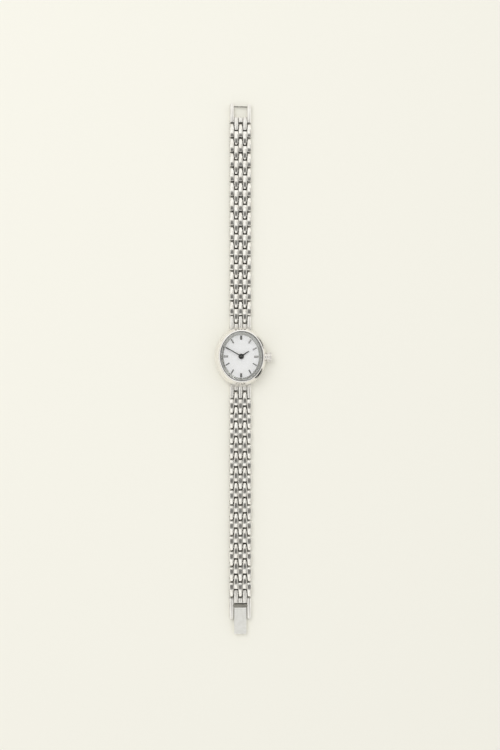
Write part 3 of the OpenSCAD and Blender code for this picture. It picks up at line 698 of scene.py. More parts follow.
@dataclass
class SubAssembly:
    """Solids of the frame that belong together, dressed as they are.

    Attributes:
        title: what the solids are called together.
        finish: finish of each solid.
        edge_mm: width of the rounded edges of those that show.
        edge_deg: edges flatter than this stay as they are.
    """

    title: str
    finish: dict[str, Finish | Glass]
    edge_mm: dict[str, float] = field(default_factory=dict)
    edge_deg: float = 28.0

    def dress(self) -> None:
        """Gives each solid its finish, and rounds the edges of those that show."""
        for name, finish in self.finish.items():
            node = coat(name, finish)
            if name in self.edge_mm:
                self.soften(node, self.edge_mm[name])
        LOG.info("dressed the %s: %s", self.title, ", ".join(self.finish))

    def soften(self, node: Thing, width_mm: float) -> None:
        """Gives a solid the rounded edges that polishing leaves, with live modifiers.

        Args:
            node: the solid's object. Its mesh stays as it is.
            width_mm: width of the rounding.
        """
        weld = node.modifiers.new("weld", "WELD")
        weld.merge_threshold = 1e-7
        bevel = node.modifiers.new("rounded edges", "BEVEL")
        bevel.limit_method = "ANGLE"
        bevel.angle_limit = math.radians(self.edge_deg)
        bevel.width = width_mm * MM
        bevel.segments = 2
        bevel.use_clamp_overlap = True
        shade = node.modifiers.new("even shading", "WEIGHTED_NORMAL")
        shade.keep_sharp = True


@dataclass(frozen=True)
class Oval:
    """The case's outline, four arcs that meet on its diagonals.

    Attributes:
        width: its width.
        length: its length.
    """

    width: float = 18.2
    length: float = 20.8

    def arcs(self) -> Triple:
        """Works out the four arcs.

        Returns:
            How far their centres lie from the oval's own, the radius of the arcs at the ends, and
            how much longer that of the arcs at the sides is.
        """
        rise = (self.length - self.width) / 2
        step = rise * (1 + math.sqrt(2))
        centre = step / math.sqrt(2)
        return centre, self.width / 2 + rise - centre, step

    def reach(self, angle_deg: float, inset: float) -> float:
        """Gives the distance from the centre to an oval that lies inside this one.

        Args:
            angle_deg: direction, clockwise from 12 o'clock.
            inset: how far inside it lies.

        Returns:
            The distance along that direction.
        """
        centre, end_r, step = self.arcs()
        end_r -= inset
        turn = math.radians(angle_deg)
        across, along = abs(math.sin(turn)), abs(math.cos(turn))
        offsets = {end_r + step: -centre * across, end_r: centre * along}
        side, end = (at + math.sqrt(at ** 2 + r ** 2 - centre ** 2) for r, at in offsets.items())
        return side if side * along <= side * across + centre else end

    def sweep(self, name: str, profile: Pairs, stations: int = 144) -> Mesh:
        """Sweeps a closed profile round its inside.

        Args:
            name: the mesh's name.
            profile: depth inside the oval and height of each corner.
            stations: how many sections the sweep has.

        Returns:
            The mesh, in metres.
        """
        centre, end_r, step = self.arcs()
        sections: list[list[Point]] = []
        for i in range(stations):
            turn = 2 * math.pi * (i + 0.5) / stations
            x, y = math.sin(turn), math.cos(turn)
            if abs(y) > abs(x):
                at_x, at_y, radius = 0.0, math.copysign(centre, y), end_r
            else:
                at_x, at_y, radius = -math.copysign(centre, x), 0.0, end_r + step
            sections.append([(at_x + (radius - depth) * x, at_y + (radius - depth) * y, z)
                             for depth, z in profile])
        return closed_sweep(name, sections)


@dataclass
class CaseShell(SubAssembly):
    """The oval case: its body with the lugs, bezel, crystal, back and seals.

    Attributes:
        outline: outline of the case.
        shoulder: depth and height of the buffed shoulder's corners, from the case's side up to
            the bezel.
        collar: place along the crown's axis and radius of the corners of the collar that its
            tube sits in.
        collar_sides: how many sides the collar has.
        axis_z: height of the crown's axis.
    """

    title: str = "case"
    finish: dict[str, Finish | Glass] = field(default_factory=lambda: {
        "mid_case": TUMBLED_STEEL, "bezel": POLISHED_STEEL, "crystal": GLASS,
        "case_back": SATIN_STEEL, "lug_pins": PIN_STEEL, "crown_tube": SATIN_STEEL,
        "crystal_gasket": NYLON, "case_back_gasket": RUBBER})
    edge_mm: dict[str, float] = field(default_factory=lambda: {
        "mid_case": 0.08, "bezel": 0.06, "crystal": 0.02, "case_back": 0.05})
    outline: Oval = field(default_factory=Oval)
    shoulder: Pairs = ((0.46, 4.03), (0.53, 4.2), (0.63, 4.42), (0.75, 4.65), (0.88, 4.87),
                       (0.99, 5.03), (1.1, 5.0), (1.1, 4.1))
    collar: Pairs = ((8.3, 1.76), (8.6, 1.72), (8.9, 1.64), (9.15, 1.54), (9.24, 1.48),
                     (9.27, 1.4), (9.27, 1.15), (8.3, 1.15))
    collar_sides: int = 64
    axis_z: float = 2.4

    def build(self) -> None:
        """Dresses the solids, and adds the bezel's shoulder and the crown's collar."""
        self.dress()
        rings = [[(x, r * up, self.axis_z + r * across) for x, r in self.collar]
                 for across, up in circle(self.collar_sides)]
        for name, mesh in (("case_shoulder", self.outline.sweep("case_shoulder", self.shoulder)),
                           ("crown_collar", closed_sweep("crown_collar", rings))):
            piece = place_mesh(mesh, name)
            mesh.materials.append(POLISHED_STEEL.material())
            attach(piece, "case")
            LOG.info("built %s", name)


@dataclass
class Movement(SubAssembly):
    """The quartz movement with its wheels, coil and battery."""

    title: str = "movement"
    finish: dict[str, Finish | Glass] = field(default_factory=lambda: {
        "movement_ring": ACETAL, "main_plate": BRASS, "train_bridge": BRASS, "hour_wheel": BRASS,
        "minute_wheel": BRASS, "setting_pinion": BRASS, "cannon_pinion": PIN_STEEL,
        "bridge_screws": SATIN_STEEL, "circuit_board": LAMINATE, "motor_coil": COPPER,
        "battery": NICKEL, "battery_clip": SATIN_STEEL, "stem": SATIN_STEEL})
    edge_mm: dict[str, float] = field(default_factory=lambda: {
        "battery": 0.05, "train_bridge": 0.03})


@dataclass
class EndFrames(SubAssembly):
    """The catch frame with its bar, and the clasp frame with its pin and swinging plate."""

    title: str = "clasp"
    finish: dict[str, Finish | Glass] = field(default_factory=lambda: {
        "catch_frame": TUMBLED_STEEL, "clasp_frame": TUMBLED_STEEL, "catch_bar": SHADED_WIRE_STEEL,
        "clasp_hinge_pin": PIN_STEEL, "clasp_plate": PLATE_STEEL})
    edge_mm: dict[str, float] = field(default_factory=lambda: {
        "catch_frame": 0.08, "clasp_frame": 0.08, "clasp_plate": 0.05})


# Dial


@dataclass
class DialFace(SubAssembly):
    """The dial with its sloping ring, its hands and twelve applied batons with bevelled edges.

    Attributes:
        outline: outline of the case.
        ring_depth: from that outline to the dial's visible edge.
        gap: from that edge to a baton's outer end.
        seat_z: height of the dial's face.
        rim: height of a baton's upright sides.
        thick: height of its top.
        hip: how far the top stays from its ends.
        bevel_w: width of the bevel along its sides.
        edge: width of the small bevel along the top of its upright sides and at its ends.
        sunk: how far it stands in the dial.
        leans_deg: how far each leans to 12 o'clock, which changes what it mirrors.
        quarter_size: width and length at 12, 3, 6 and 9 o'clock.
        hour_size: width and length of the others.
    """

    title: str = "dial"
    finish: dict[str, Finish | Glass] = field(default_factory=lambda: {
        "dial": DIAL_PAINT, "dial_ring": BLASTED_STEEL, "hour_markers": MARKER_STEEL,
        "minute_hand": HAND_STEEL, "hour_hand": HAND_STEEL})
    edge_mm: dict[str, float] = field(default_factory=lambda: {
        "minute_hand": 0.03, "hour_hand": 0.03})
    outline: Oval = field(default_factory=Oval)
    ring_depth: float = 2.75
    gap: float = 0.2
    seat_z: float = 3.9
    rim: float = 0.1
    thick: float = 0.2
    hip: float = 0.09
    bevel_w: float = 0.1
    edge: float = 0.02
    sunk: float = 0.12
    leans_deg: tuple[float, ...] = (0.0, 5.0, 5.0, 6.5, 4.0, 0.0, 0.0, 0.0, 0.0, 6.5, 4.0, 3.5)
    quarter_size: Pair = (0.75, 1.5)
    hour_size: Pair = (0.46, 1.6)

    def build(self) -> None:
        """Dresses the solids and sets the batons on the dial."""
        self.dress()
        quarter = self.baton("quarter baton", *self.quarter_size)
        hour = self.baton("hour baton", *self.hour_size)
        places = self.places()
        piece = grow("hour_batons", self.tree(), {
            "Places": places, "Quarter baton": quarter, "Hour baton": hour,
            "Height": self.seat_z * MM, "Finish": MARKER_STEEL.material()})
        remove(quarter, hour, places)
        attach(piece, "case")
        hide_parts("hour_markers")
        LOG.info("built %s", piece.name)

    def places(self) -> Thing:
        """Makes a helper with a point at each baton's outer end.

        Returns:
            The helper object, whose points hold their baton's turn, lean and kind.
        """
        bearings = [30.0 * hour for hour in range(12)]
        turns = [math.radians(bearing) for bearing in bearings]
        outer = [self.outline.reach(bearing, self.ring_depth) - self.gap for bearing in bearings]
        mesh = bpy.data.meshes.new("marker places")
        mesh.from_pydata([(r * math.sin(turn) * MM, r * math.cos(turn) * MM, 0.0)
                          for r, turn in zip(outer, turns)], [], [])
        for name, kind, values in (
                ("turn", "FLOAT", [-turn for turn in turns]),
                ("lean", "FLOAT", [-math.radians(lean) for lean in self.leans_deg]),
                ("quarter", "BOOLEAN", [bearing % 90 == 0 for bearing in bearings])):
            mesh.attributes.new(name, kind, "POINT").data.foreach_set("value", values)
        return place_mesh(mesh, "marker places")

    def baton(self, name: str, width: float, length: float) -> Thing:
        """Builds a baton with bevelled edges, from its outer end at the origin towards -Y.

        Args:
            name: the object's name.
            width: its width.
            length: its length.

        Returns:
            A helper object with the baton's mesh.
        """
        edge, rim, top = self.edge, self.rim, width / 2 - self.bevel_w
        low = rim - edge
        sections = []
        for y, inset, high in ((0.0, edge, rim), (-edge, 0.0, rim + edge),
                               (-self.hip, 0.0, self.thick), (-length + self.hip, 0.0, self.thick),
                               (-length + edge, 0.0, rim + edge), (-length, edge, rim)):
            half = width / 2 - inset
            sections.append([(half, y, -self.sunk), (half, y, low), (half - edge, y, rim),
                             (top, y, high), (-top, y, high), (-half + edge, y, rim),
                             (-half, y, low), (-half, y, -self.sunk)])
        return place_mesh(loft(name, sections, smooth_deg=12.0), name)

    def tree(self) -> Nodes:
        """Builds the tree that sets the batons on their places.

        Returns:
            The Geometry Nodes tree.
        """
        tree, given = new_tree("hour batons", {
            "Places": "Object", "Quarter baton": "Object", "Hour baton": "Object",
            "Height": "Float", "Finish": "Material"})
        points, quarters, hours = (
            add_node(tree, "GeometryNodeObjectInfo", {"Object": given[label]}, "Geometry")
            for label in ("Places", "Quarter baton", "Hour baton"))
        turn, lean, quarter = (
            add_node(tree, "GeometryNodeInputNamedAttribute", {"Name": name}, data_type=kind)
            for name, kind in (("turn", "FLOAT"), ("lean", "FLOAT"), ("quarter", "BOOLEAN")))
        facing, tip = (
            add_node(tree, "FunctionNodeEulerToRotation", {
                0: add_node(tree, "ShaderNodeCombineXYZ", {axis: angle})})
            for axis, angle in ((2, turn), (0, lean)))
        leaning = add_node(tree, "FunctionNodeRotateRotation", (facing, tip),
                           rotation_space="GLOBAL")
        other = add_node(tree, "FunctionNodeBooleanMath", {0: quarter}, operation="NOT")
        batons = [add_node(tree, "GeometryNodeInstanceOnPoints", {
            "Points": points, "Selection": chosen, "Instance": baton, "Rotation": leaning})
            for chosen, baton in ((quarter, quarters), (other, hours))]
        return end_tree(tree, batons, given["Height"], given["Finish"])


# Crown


@dataclass
class Crown(SubAssembly):
    """The crown: a turned knob with a slightly domed end, a coin edge and its seal.

    Attributes:
        start: from the dial's centre to the crown's inner face.
        end: from the dial's centre to its outer end.
        axis_z: height of its axis.
        radius: over the ribs.
        groove: depth between the ribs.
        bore_r: radius of its socket.
        bore_edge: bevel at the socket's mouth.
        bore_end: from the dial's centre to the socket's floor.
        stem_r: radius of the stem's seat.
        stem_end: from the dial's centre to the end of that seat.
        foot: distance from the inner face and depth under the grooves of each corner there.
        shoulder: the same from the outer end.
        dome: distance from the outer end, and radius as a share of the grooves' radius, of each
            corner of the domed end.
        sides: how many sides the knob has.
        ribs: how many ribs its edge has.
        rib_rise: distance from the inner face and share of the full height of each section of
            a rib's first half.
        rib_fall: the same from the outer end, of its second half.
        rib_half: half the width of a rib at its foot, its shoulder and its top.
        rib_sunk: how far a rib's shape begins under the grooves.
        rib_foot: how much farther its foot reaches.
        rib_flat: how far its flat top stays under its full height.
        rib_shoulder: height of its shoulder, as a share of its own.
    """

    title: str = "crown"
    finish: dict[str, Finish | Glass] = field(default_factory=lambda: {
        "crown": EDGED_STEEL, "crown_gasket": RUBBER})
    start: float = 9.3
    end: float = 11.15
    axis_z: float = 2.4
    radius: float = 1.75
    groove: float = 0.1
    bore_r: float = 1.05
    bore_edge: float = 0.03
    bore_end: float = 10.5
    stem_r: float = 0.36
    stem_end: float = 10.9
    foot: Pairs = ((0.0, 0.1), (0.04, 0.03), (0.1, 0.0))
    shoulder: Pairs = ((0.3, 0.0), (0.2, 0.03), (0.12, 0.12), (0.08, 0.3))
    dome: Pairs = ((0.04, 0.6), (0.01, 0.3), (0.0, 0.0))
    sides: int = 52
    ribs: int = 26
    rib_rise: Pairs = ((0.04, 0.3), (0.1, 0.8), (0.18, 1.0))
    rib_fall: Pairs = ((0.32, 1.0), (0.24, 0.8), (0.18, 0.35))
    rib_half: Triple = (0.13, 0.11, 0.05)
    rib_sunk: float = 0.05
    rib_foot: float = 0.02
    rib_flat: float = 0.01
    rib_shoulder: float = 0.6

    def build(self) -> None:
        """Dresses the solids, and builds the knob that rides with the crown."""
        self.dress()
        body, rib = self.knob("turned knob"), self.rib("coin rib")
        piece = grow("crown_knob", self.tree(), {
            "Knob": body, "Rib": rib, "Ribs": self.ribs, "Axis height": self.axis_z * MM,
            "Finish": EDGED_STEEL.material()})
        remove(body, rib)
        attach(piece, "crown")
        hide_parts("crown")
        LOG.info("built %s", piece.name)

    def knob(self, name: str) -> Thing:
        """Turns the knob's profile round its axis.

        Args:
            name: the object's name.

        Returns:
            A helper object with the knob's mesh, its axis on X.
        """
        floor_r = self.radius - self.groove
        profile = [(self.stem_end, 0.0), (self.stem_end, self.stem_r), (self.bore_end, self.stem_r),
                   (self.bore_end, self.bore_r), (self.start + self.bore_edge, self.bore_r),
                   (self.start, self.bore_r + self.bore_edge)]
        profile += [(self.start + at, floor_r - depth) for at, depth in self.foot]
        profile += [(self.end - at, floor_r - depth) for at, depth in self.shoulder]
        profile += [(self.end - at, floor_r * share) for at, share in self.dome]
        points: list[Point] = []
        rings: list[range] = []
        for x, radius in profile:
            corners = circle(self.sides, radius)[:self.sides if radius else 1]
            rings.append(range(len(points), len(points) + len(corners)))
            points += [(x, across, up) for across, up in corners]
        faces = []
        for near, far in zip(rings, rings[1:]):
            for i in range(self.sides):
                j = i + 1
                quad = (near[i % len(near)], near[j % len(near)], far[j % len(far)],
                        far[i % len(far)])
                faces.append(list(dict.fromkeys(quad)))
        return place_mesh(solid_mesh(name, points, faces, smooth_deg=50.0), name)

    def rib(self, name: str) -> Thing:
        """Builds one rounded rib above the axis, along X.

        Args:
            name: the object's name.

        Returns:
            A helper object with the rib's mesh.
        """
        low = self.radius - self.groove - self.rib_sunk
        foot_w, shoulder_w, top_w = self.rib_half
        stations = [(self.start + at, lift) for at, lift in self.rib_rise]
        stations += [(self.end - at, lift) for at, lift in self.rib_fall]
        sections = []
        for x, lift in stations:
            top = low + (self.radius - low) * lift
            shoulder = low + (top - low) * self.rib_shoulder
            half = [(foot_w, low - self.rib_foot), (shoulder_w, shoulder),
                    (top_w, top - self.rib_flat)]
            sections.append([(x, w, z) for w, z in half] + [(x, -w, z) for w, z in half[::-1]])
        return place_mesh(loft(name, sections, smooth_deg=60.0), name)

    def tree(self) -> Nodes:
        """Builds the tree that sets the ribs round the knob.

        Returns:
            The Geometry Nodes tree.
        """
        tree, given = new_tree("coin edge", {
            "Knob": "Object", "Rib": "Object", "Ribs": "Int", "Axis height": "Float",
            "Finish": "Material"})
        knob, rib = (
            add_node(tree, "GeometryNodeObjectInfo", {"Object": given[label]}, "Geometry")
            for label in ("Knob", "Rib"))
        points = add_node(tree, "GeometryNodePoints", {"Count": given["Ribs"]})
        number = add_node(tree, "GeometryNodeInputIndex")
        middle = add_node(tree, "ShaderNodeMath", (number, 0.5), operation="ADD")
        share = add_node(tree, "ShaderNodeMath", (middle, given["Ribs"]), operation="DIVIDE")
        angle = add_node(tree, "ShaderNodeMath", (share, 2 * math.pi), operation="MULTIPLY")
        about = add_node(tree, "ShaderNodeCombineXYZ", {0: angle})
        facing = add_node(tree, "FunctionNodeEulerToRotation", {0: about})
        edge = add_node(tree, "GeometryNodeInstanceOnPoints", {
            "Points": points, "Instance": rib, "Rotation": facing})
        return end_tree(tree, [knob, edge], given["Axis height"], given["Finish"])


# Bracelet


def rounding(radius: float, into: float) -> float:
    """Gives what a round corner takes off, at a distance into it."""
    return radius - math.sqrt(max(radius ** 2 - into ** 2, 0.0)) if into > 0 else 0.0


@dataclass(frozen=True)
class Grain:
    """One rounded grain of a casting, along +Y from its root at the origin to its tip.

    Attributes:
        length: from root to tip.
        width: from its root to its middle, where it meets its neighbours.
        tip_width: at its tip.
        taper_y: from the root to where the taper begins.
        height: of the crest's top.
        crest_r: radius of the crest's long arc, seen from the side.
        crest_y: from the root to the top of that arc.
        crest_depth: height of the rounded crest across the grain.
        crest_power: 2 gives an elliptic crest and more a fuller one.
        crest_steps: how many parts the crest's curve has across the grain.
        nose_r: radius of the tip, seen from the side.
        corner_r: radius of the tip's corners, seen from above.
        heel: cut below the tip.
        fillet: rounding of the lower edges.
        root_edge: rounding of the root's upper edge.
        root_stations: where the root's sections are drawn, as shares of that rounding.
        middle_stations: how many sections are drawn between root and tip.
        tip_stations: where the tip's sections are drawn, as shares of its radius from its end.
        bore_r: radius of the pin's bore.
        bore_back: from the bore's axis to the tip.
        bore_z: height of that axis.
        smooth_deg: edges sharper than this stay sharp once the bore is cut.
    """

    length: float = 5.06
    width: float = 1.56
    tip_width: float = 1.04
    taper_y: float = 2.2
    height: float = 2.0
    crest_r: float = 7.0
    crest_y: float = 2.0
    crest_depth: float = 0.42
    crest_power: float = 3.8
    crest_steps: int = 12
    nose_r: float = 0.5
    corner_r: float = 0.5
    heel: float = 0.25
    fillet: float = 0.07
    root_edge: float = 0.12
    root_stations: tuple[float, ...] = (0.0, 0.25, 0.6, 1.0)
    middle_stations: int = 6
    tip_stations: tuple[float, ...] = (1.0, 0.8, 0.65, 0.52, 0.4, 0.29, 0.19, 0.1, 0.04, 0.0)
    bore_r: float = 0.42
    bore_back: float = 1.3
    bore_z: float = 1.0
    smooth_deg: float = 40.0

    def half_width(self, y: float) -> float:
        """Works out half the grain's width.

        Args:
            y: distance from the root.

        Returns:
            Half the width there.
        """
        corner_y = self.length - self.corner_r
        along = max(min(y, corner_y) - self.taper_y, 0.0) / (self.length - self.taper_y)
        half = (self.width + (self.tip_width - self.width) * along) / 2
        edge = self.root_edge / 2
        return half - rounding(self.corner_r, y - corner_y) - rounding(edge, edge - y)

    def crest(self, y: float) -> float:
        """Works out the crest's height.

        Args:
            y: distance from the root.

        Returns:
            The height there.
        """
        top = self.height - self.crest_r + math.sqrt(self.crest_r ** 2 - (y - self.crest_y) ** 2)
        nose = rounding(self.nose_r, y - (self.length - self.nose_r))
        return top - nose - rounding(self.root_edge, self.root_edge - y)

    def section(self, y: float) -> list[Point]:
        """Draws the closed section at a distance from the root.

        Args:
            y: distance from the root.

        Returns:
            The section's points.
        """
        half, top = self.half_width(y), self.crest(y)
        foot = max(0.0, y - (self.length - self.heel))
        fillet = min(self.fillet, half / 2)
        ring: list[Point] = [(half, y, foot + fillet)]
        for i in range(self.crest_steps + 1):
            turn = math.pi * i / self.crest_steps
            across, up = math.cos(turn), max(math.sin(turn), 0.0)
            ring.append((half * math.copysign(abs(across) ** (2 / self.crest_power), across), y,
                         top - self.crest_depth * (1 - up ** (2 / self.crest_power))))
        return ring + [(-half, y, foot + fillet), (-half + fillet, y, foot),
                       (half - fillet, y, foot)]

    def stations(self) -> list[float]:
        """Works out where sections are drawn, closer at both ends.

        Returns:
            Their distances from the root.
        """
        first = [self.root_edge * share for share in self.root_stations]
        last = [self.length - self.nose_r * share for share in self.tip_stations]
        gap = (last[0] - first[-1]) / (self.middle_stations + 1)
        return first + [first[-1] + gap * (i + 1) for i in range(self.middle_stations)] + last

    def build(self, name: str) -> Thing:
        """Builds the grain with the bore of its pin.

        Args:
            name: the object's name.

        Returns:
            A helper object with the grain's mesh.
        """
        grain = place_mesh(loft(name, [self.section(y) for y in self.stations()]), name)
        drill = place_mesh(rod("drill", ((-self.width, self.bore_r), (self.width, self.bore_r)),
                               self.length - self.bore_back, self.bore_z), "drill")
        cut = grain.modifiers.new("bore", "BOOLEAN")
        cut.operation = "DIFFERENCE"
        cut.solver = "EXACT"
        cut.object = drill
        bored = plain_mesh(grain)
        bored.set_sharp_from_angle(angle=math.radians(self.smooth_deg))
        remove(grain, drill)
        return place_mesh(bored, name)


@dataclass
class Bracelet:
    """Two chains of cast links. Three grains of a link reach outward and two inward, and each
    link holds the pin that the next one turns on.

    Attributes:
        links: how many links each half has.
        pitch: from one pin to the next.
        first_pin: from the dial's centre to the lug pins.
        column: from one column of grains to the next.
        root_reach: from the inward pin to the outward grains' roots.
        web_size: width, length and height of the web between the columns.
        web_z: height of the web's middle.
        pin_r: radius of a pin.
        pin_l: length of a pin.
        pin_edge: bevel of its ends.
        grain: shape of the grains.
    """

    links: int = 13
    pitch: float = 5.4
    first_pin: float = 13.5
    column: float = 1.56
    root_reach: float = 1.64
    web_size: Triple = (7.38, 1.92, 1.25)
    web_z: float = 0.825
    pin_r: float = 0.4
    pin_l: float = 7.42
    pin_edge: float = 0.08
    grain: Grain = field(default_factory=Grain)

    def build(self) -> None:
        """Builds every link and lets it ride on its body."""
        grain = self.grain.build("cast grain")
        pin = self.pin("hinge pin")
        tree = self.tree()
        for half, turn in (("upper", 0.0), ("lower", math.pi)):
            for number in range(1, self.links + 1):
                node = f"{half}_link_{number:02d}"
                coat(node, CAST_STEEL)
                piece = grow(f"{node}_casting", tree, {
                    "Grain": grain, "Pin": pin, "Columns apart": self.column * MM,
                    "Pins apart": self.pitch * MM, "Root from pin": self.root_reach * MM,
                    "Web size": [size * MM for size in self.web_size],
                    "Web height": self.web_z * MM,
                    "From dial": (self.first_pin + (number - 1) * self.pitch) * MM, "Turn": turn,
                    "Casting": CAST_STEEL.material(), "Ground pin": PIN_STEEL.material()})
                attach(piece, node)
                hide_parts(node)
                LOG.info("built %s", piece.name)
        remove(grain, pin)

    def pin(self, name: str) -> Thing:
        """Builds a hinge pin along X with bevelled ends.

        Args:
            name: the object's name.

        Returns:
            A helper object with the pin's mesh.
        """
        half, tip_r = self.pin_l / 2, self.pin_r - self.pin_edge
        profile = ((-half, tip_r), (-half + self.pin_edge, self.pin_r),
                   (half - self.pin_edge, self.pin_r), (half, tip_r))
        return place_mesh(rod(name, profile, 0.0, self.grain.bore_z), name)

    def tree(self) -> Nodes:
        """Builds the tree of a cast link from its grain and its pin.

        Returns:
            The Geometry Nodes tree.
        """
        tree, given = new_tree("cast link", {
            "Grain": "Object", "Pin": "Object", "Columns apart": "Float", "Pins apart": "Float",
            "Root from pin": "Float", "Web size": "Vector", "Web height": "Float",
            "From dial": "Float", "Turn": "Float", "Casting": "Material",
            "Ground pin": "Material"})
        apart, near_root = given["Columns apart"], given["Root from pin"]
        grain, pin = (
            add_node(tree, "GeometryNodeObjectInfo", {"Object": given[label]}, "Geometry")
            for label in ("Grain", "Pin"))
        wide = add_node(tree, "ShaderNodeMath", (apart, 2.0), operation="MULTIPLY")
        step = add_node(tree, "ShaderNodeCombineXYZ", {0: wide})
        far_root = add_node(tree, "ShaderNodeMath", (given["Pins apart"], near_root),
                            operation="SUBTRACT")
        casting = []
        for count, column, root, turn in ((3, -2.0, near_root, 0.0), (2, -1.0, far_root, math.pi)):
            first = add_node(tree, "ShaderNodeMath", (apart, column), operation="MULTIPLY")
            start = add_node(tree, "ShaderNodeCombineXYZ", {0: first, 1: root})
            row = add_node(tree, "GeometryNodeMeshLine", {
                "Count": count, "Start Location": start, "Offset": step})
            casting.append(add_node(tree, "GeometryNodeInstanceOnPoints", {
                "Points": row, "Instance": grain, "Rotation": (0.0, 0.0, turn)}))
        amid = add_node(tree, "ShaderNodeMath", (given["Pins apart"], 0.5), operation="MULTIPLY")
        web_at = add_node(tree, "ShaderNodeCombineXYZ", {1: amid, 2: given["Web height"]})
        block = add_node(tree, "GeometryNodeMeshCube", {"Size": given["Web size"]})
        casting.append(add_node(tree, "GeometryNodeTransform", {
            "Geometry": block, "Translation": web_at}))
        pin_at = add_node(tree, "ShaderNodeCombineXYZ", {1: given["Pins apart"]})
        moved = add_node(tree, "GeometryNodeTransform", {"Geometry": pin, "Translation": pin_at})
        cast, ground = (
            add_node(tree, "GeometryNodeSetMaterial", {"Geometry": part, "Material": given[label]})
            for part, label in (
                (add_node(tree, "GeometryNodeJoinGeometry", {0: casting}), "Casting"),
                (moved, "Ground pin")))
        link = add_node(tree, "GeometryNodeJoinGeometry", {0: [cast, ground]})
        out = add_node(tree, "ShaderNodeCombineXYZ", {1: given["From dial"]})
        laid = add_node(tree, "GeometryNodeTransform", {"Geometry": link, "Translation": out})
        about = add_node(tree, "ShaderNodeCombineXYZ", {2: given["Turn"]})
        facing = add_node(tree, "FunctionNodeEulerToRotation", {0: about})
        turned = add_node(tree, "GeometryNodeTransform", {"Geometry": laid, "Rotation": facing})
        real = add_node(tree, "GeometryNodeRealizeInstances", {0: turned})
        add_node(tree, "NodeGroupOutput", {0: real}, None)
        return tree


# Studio


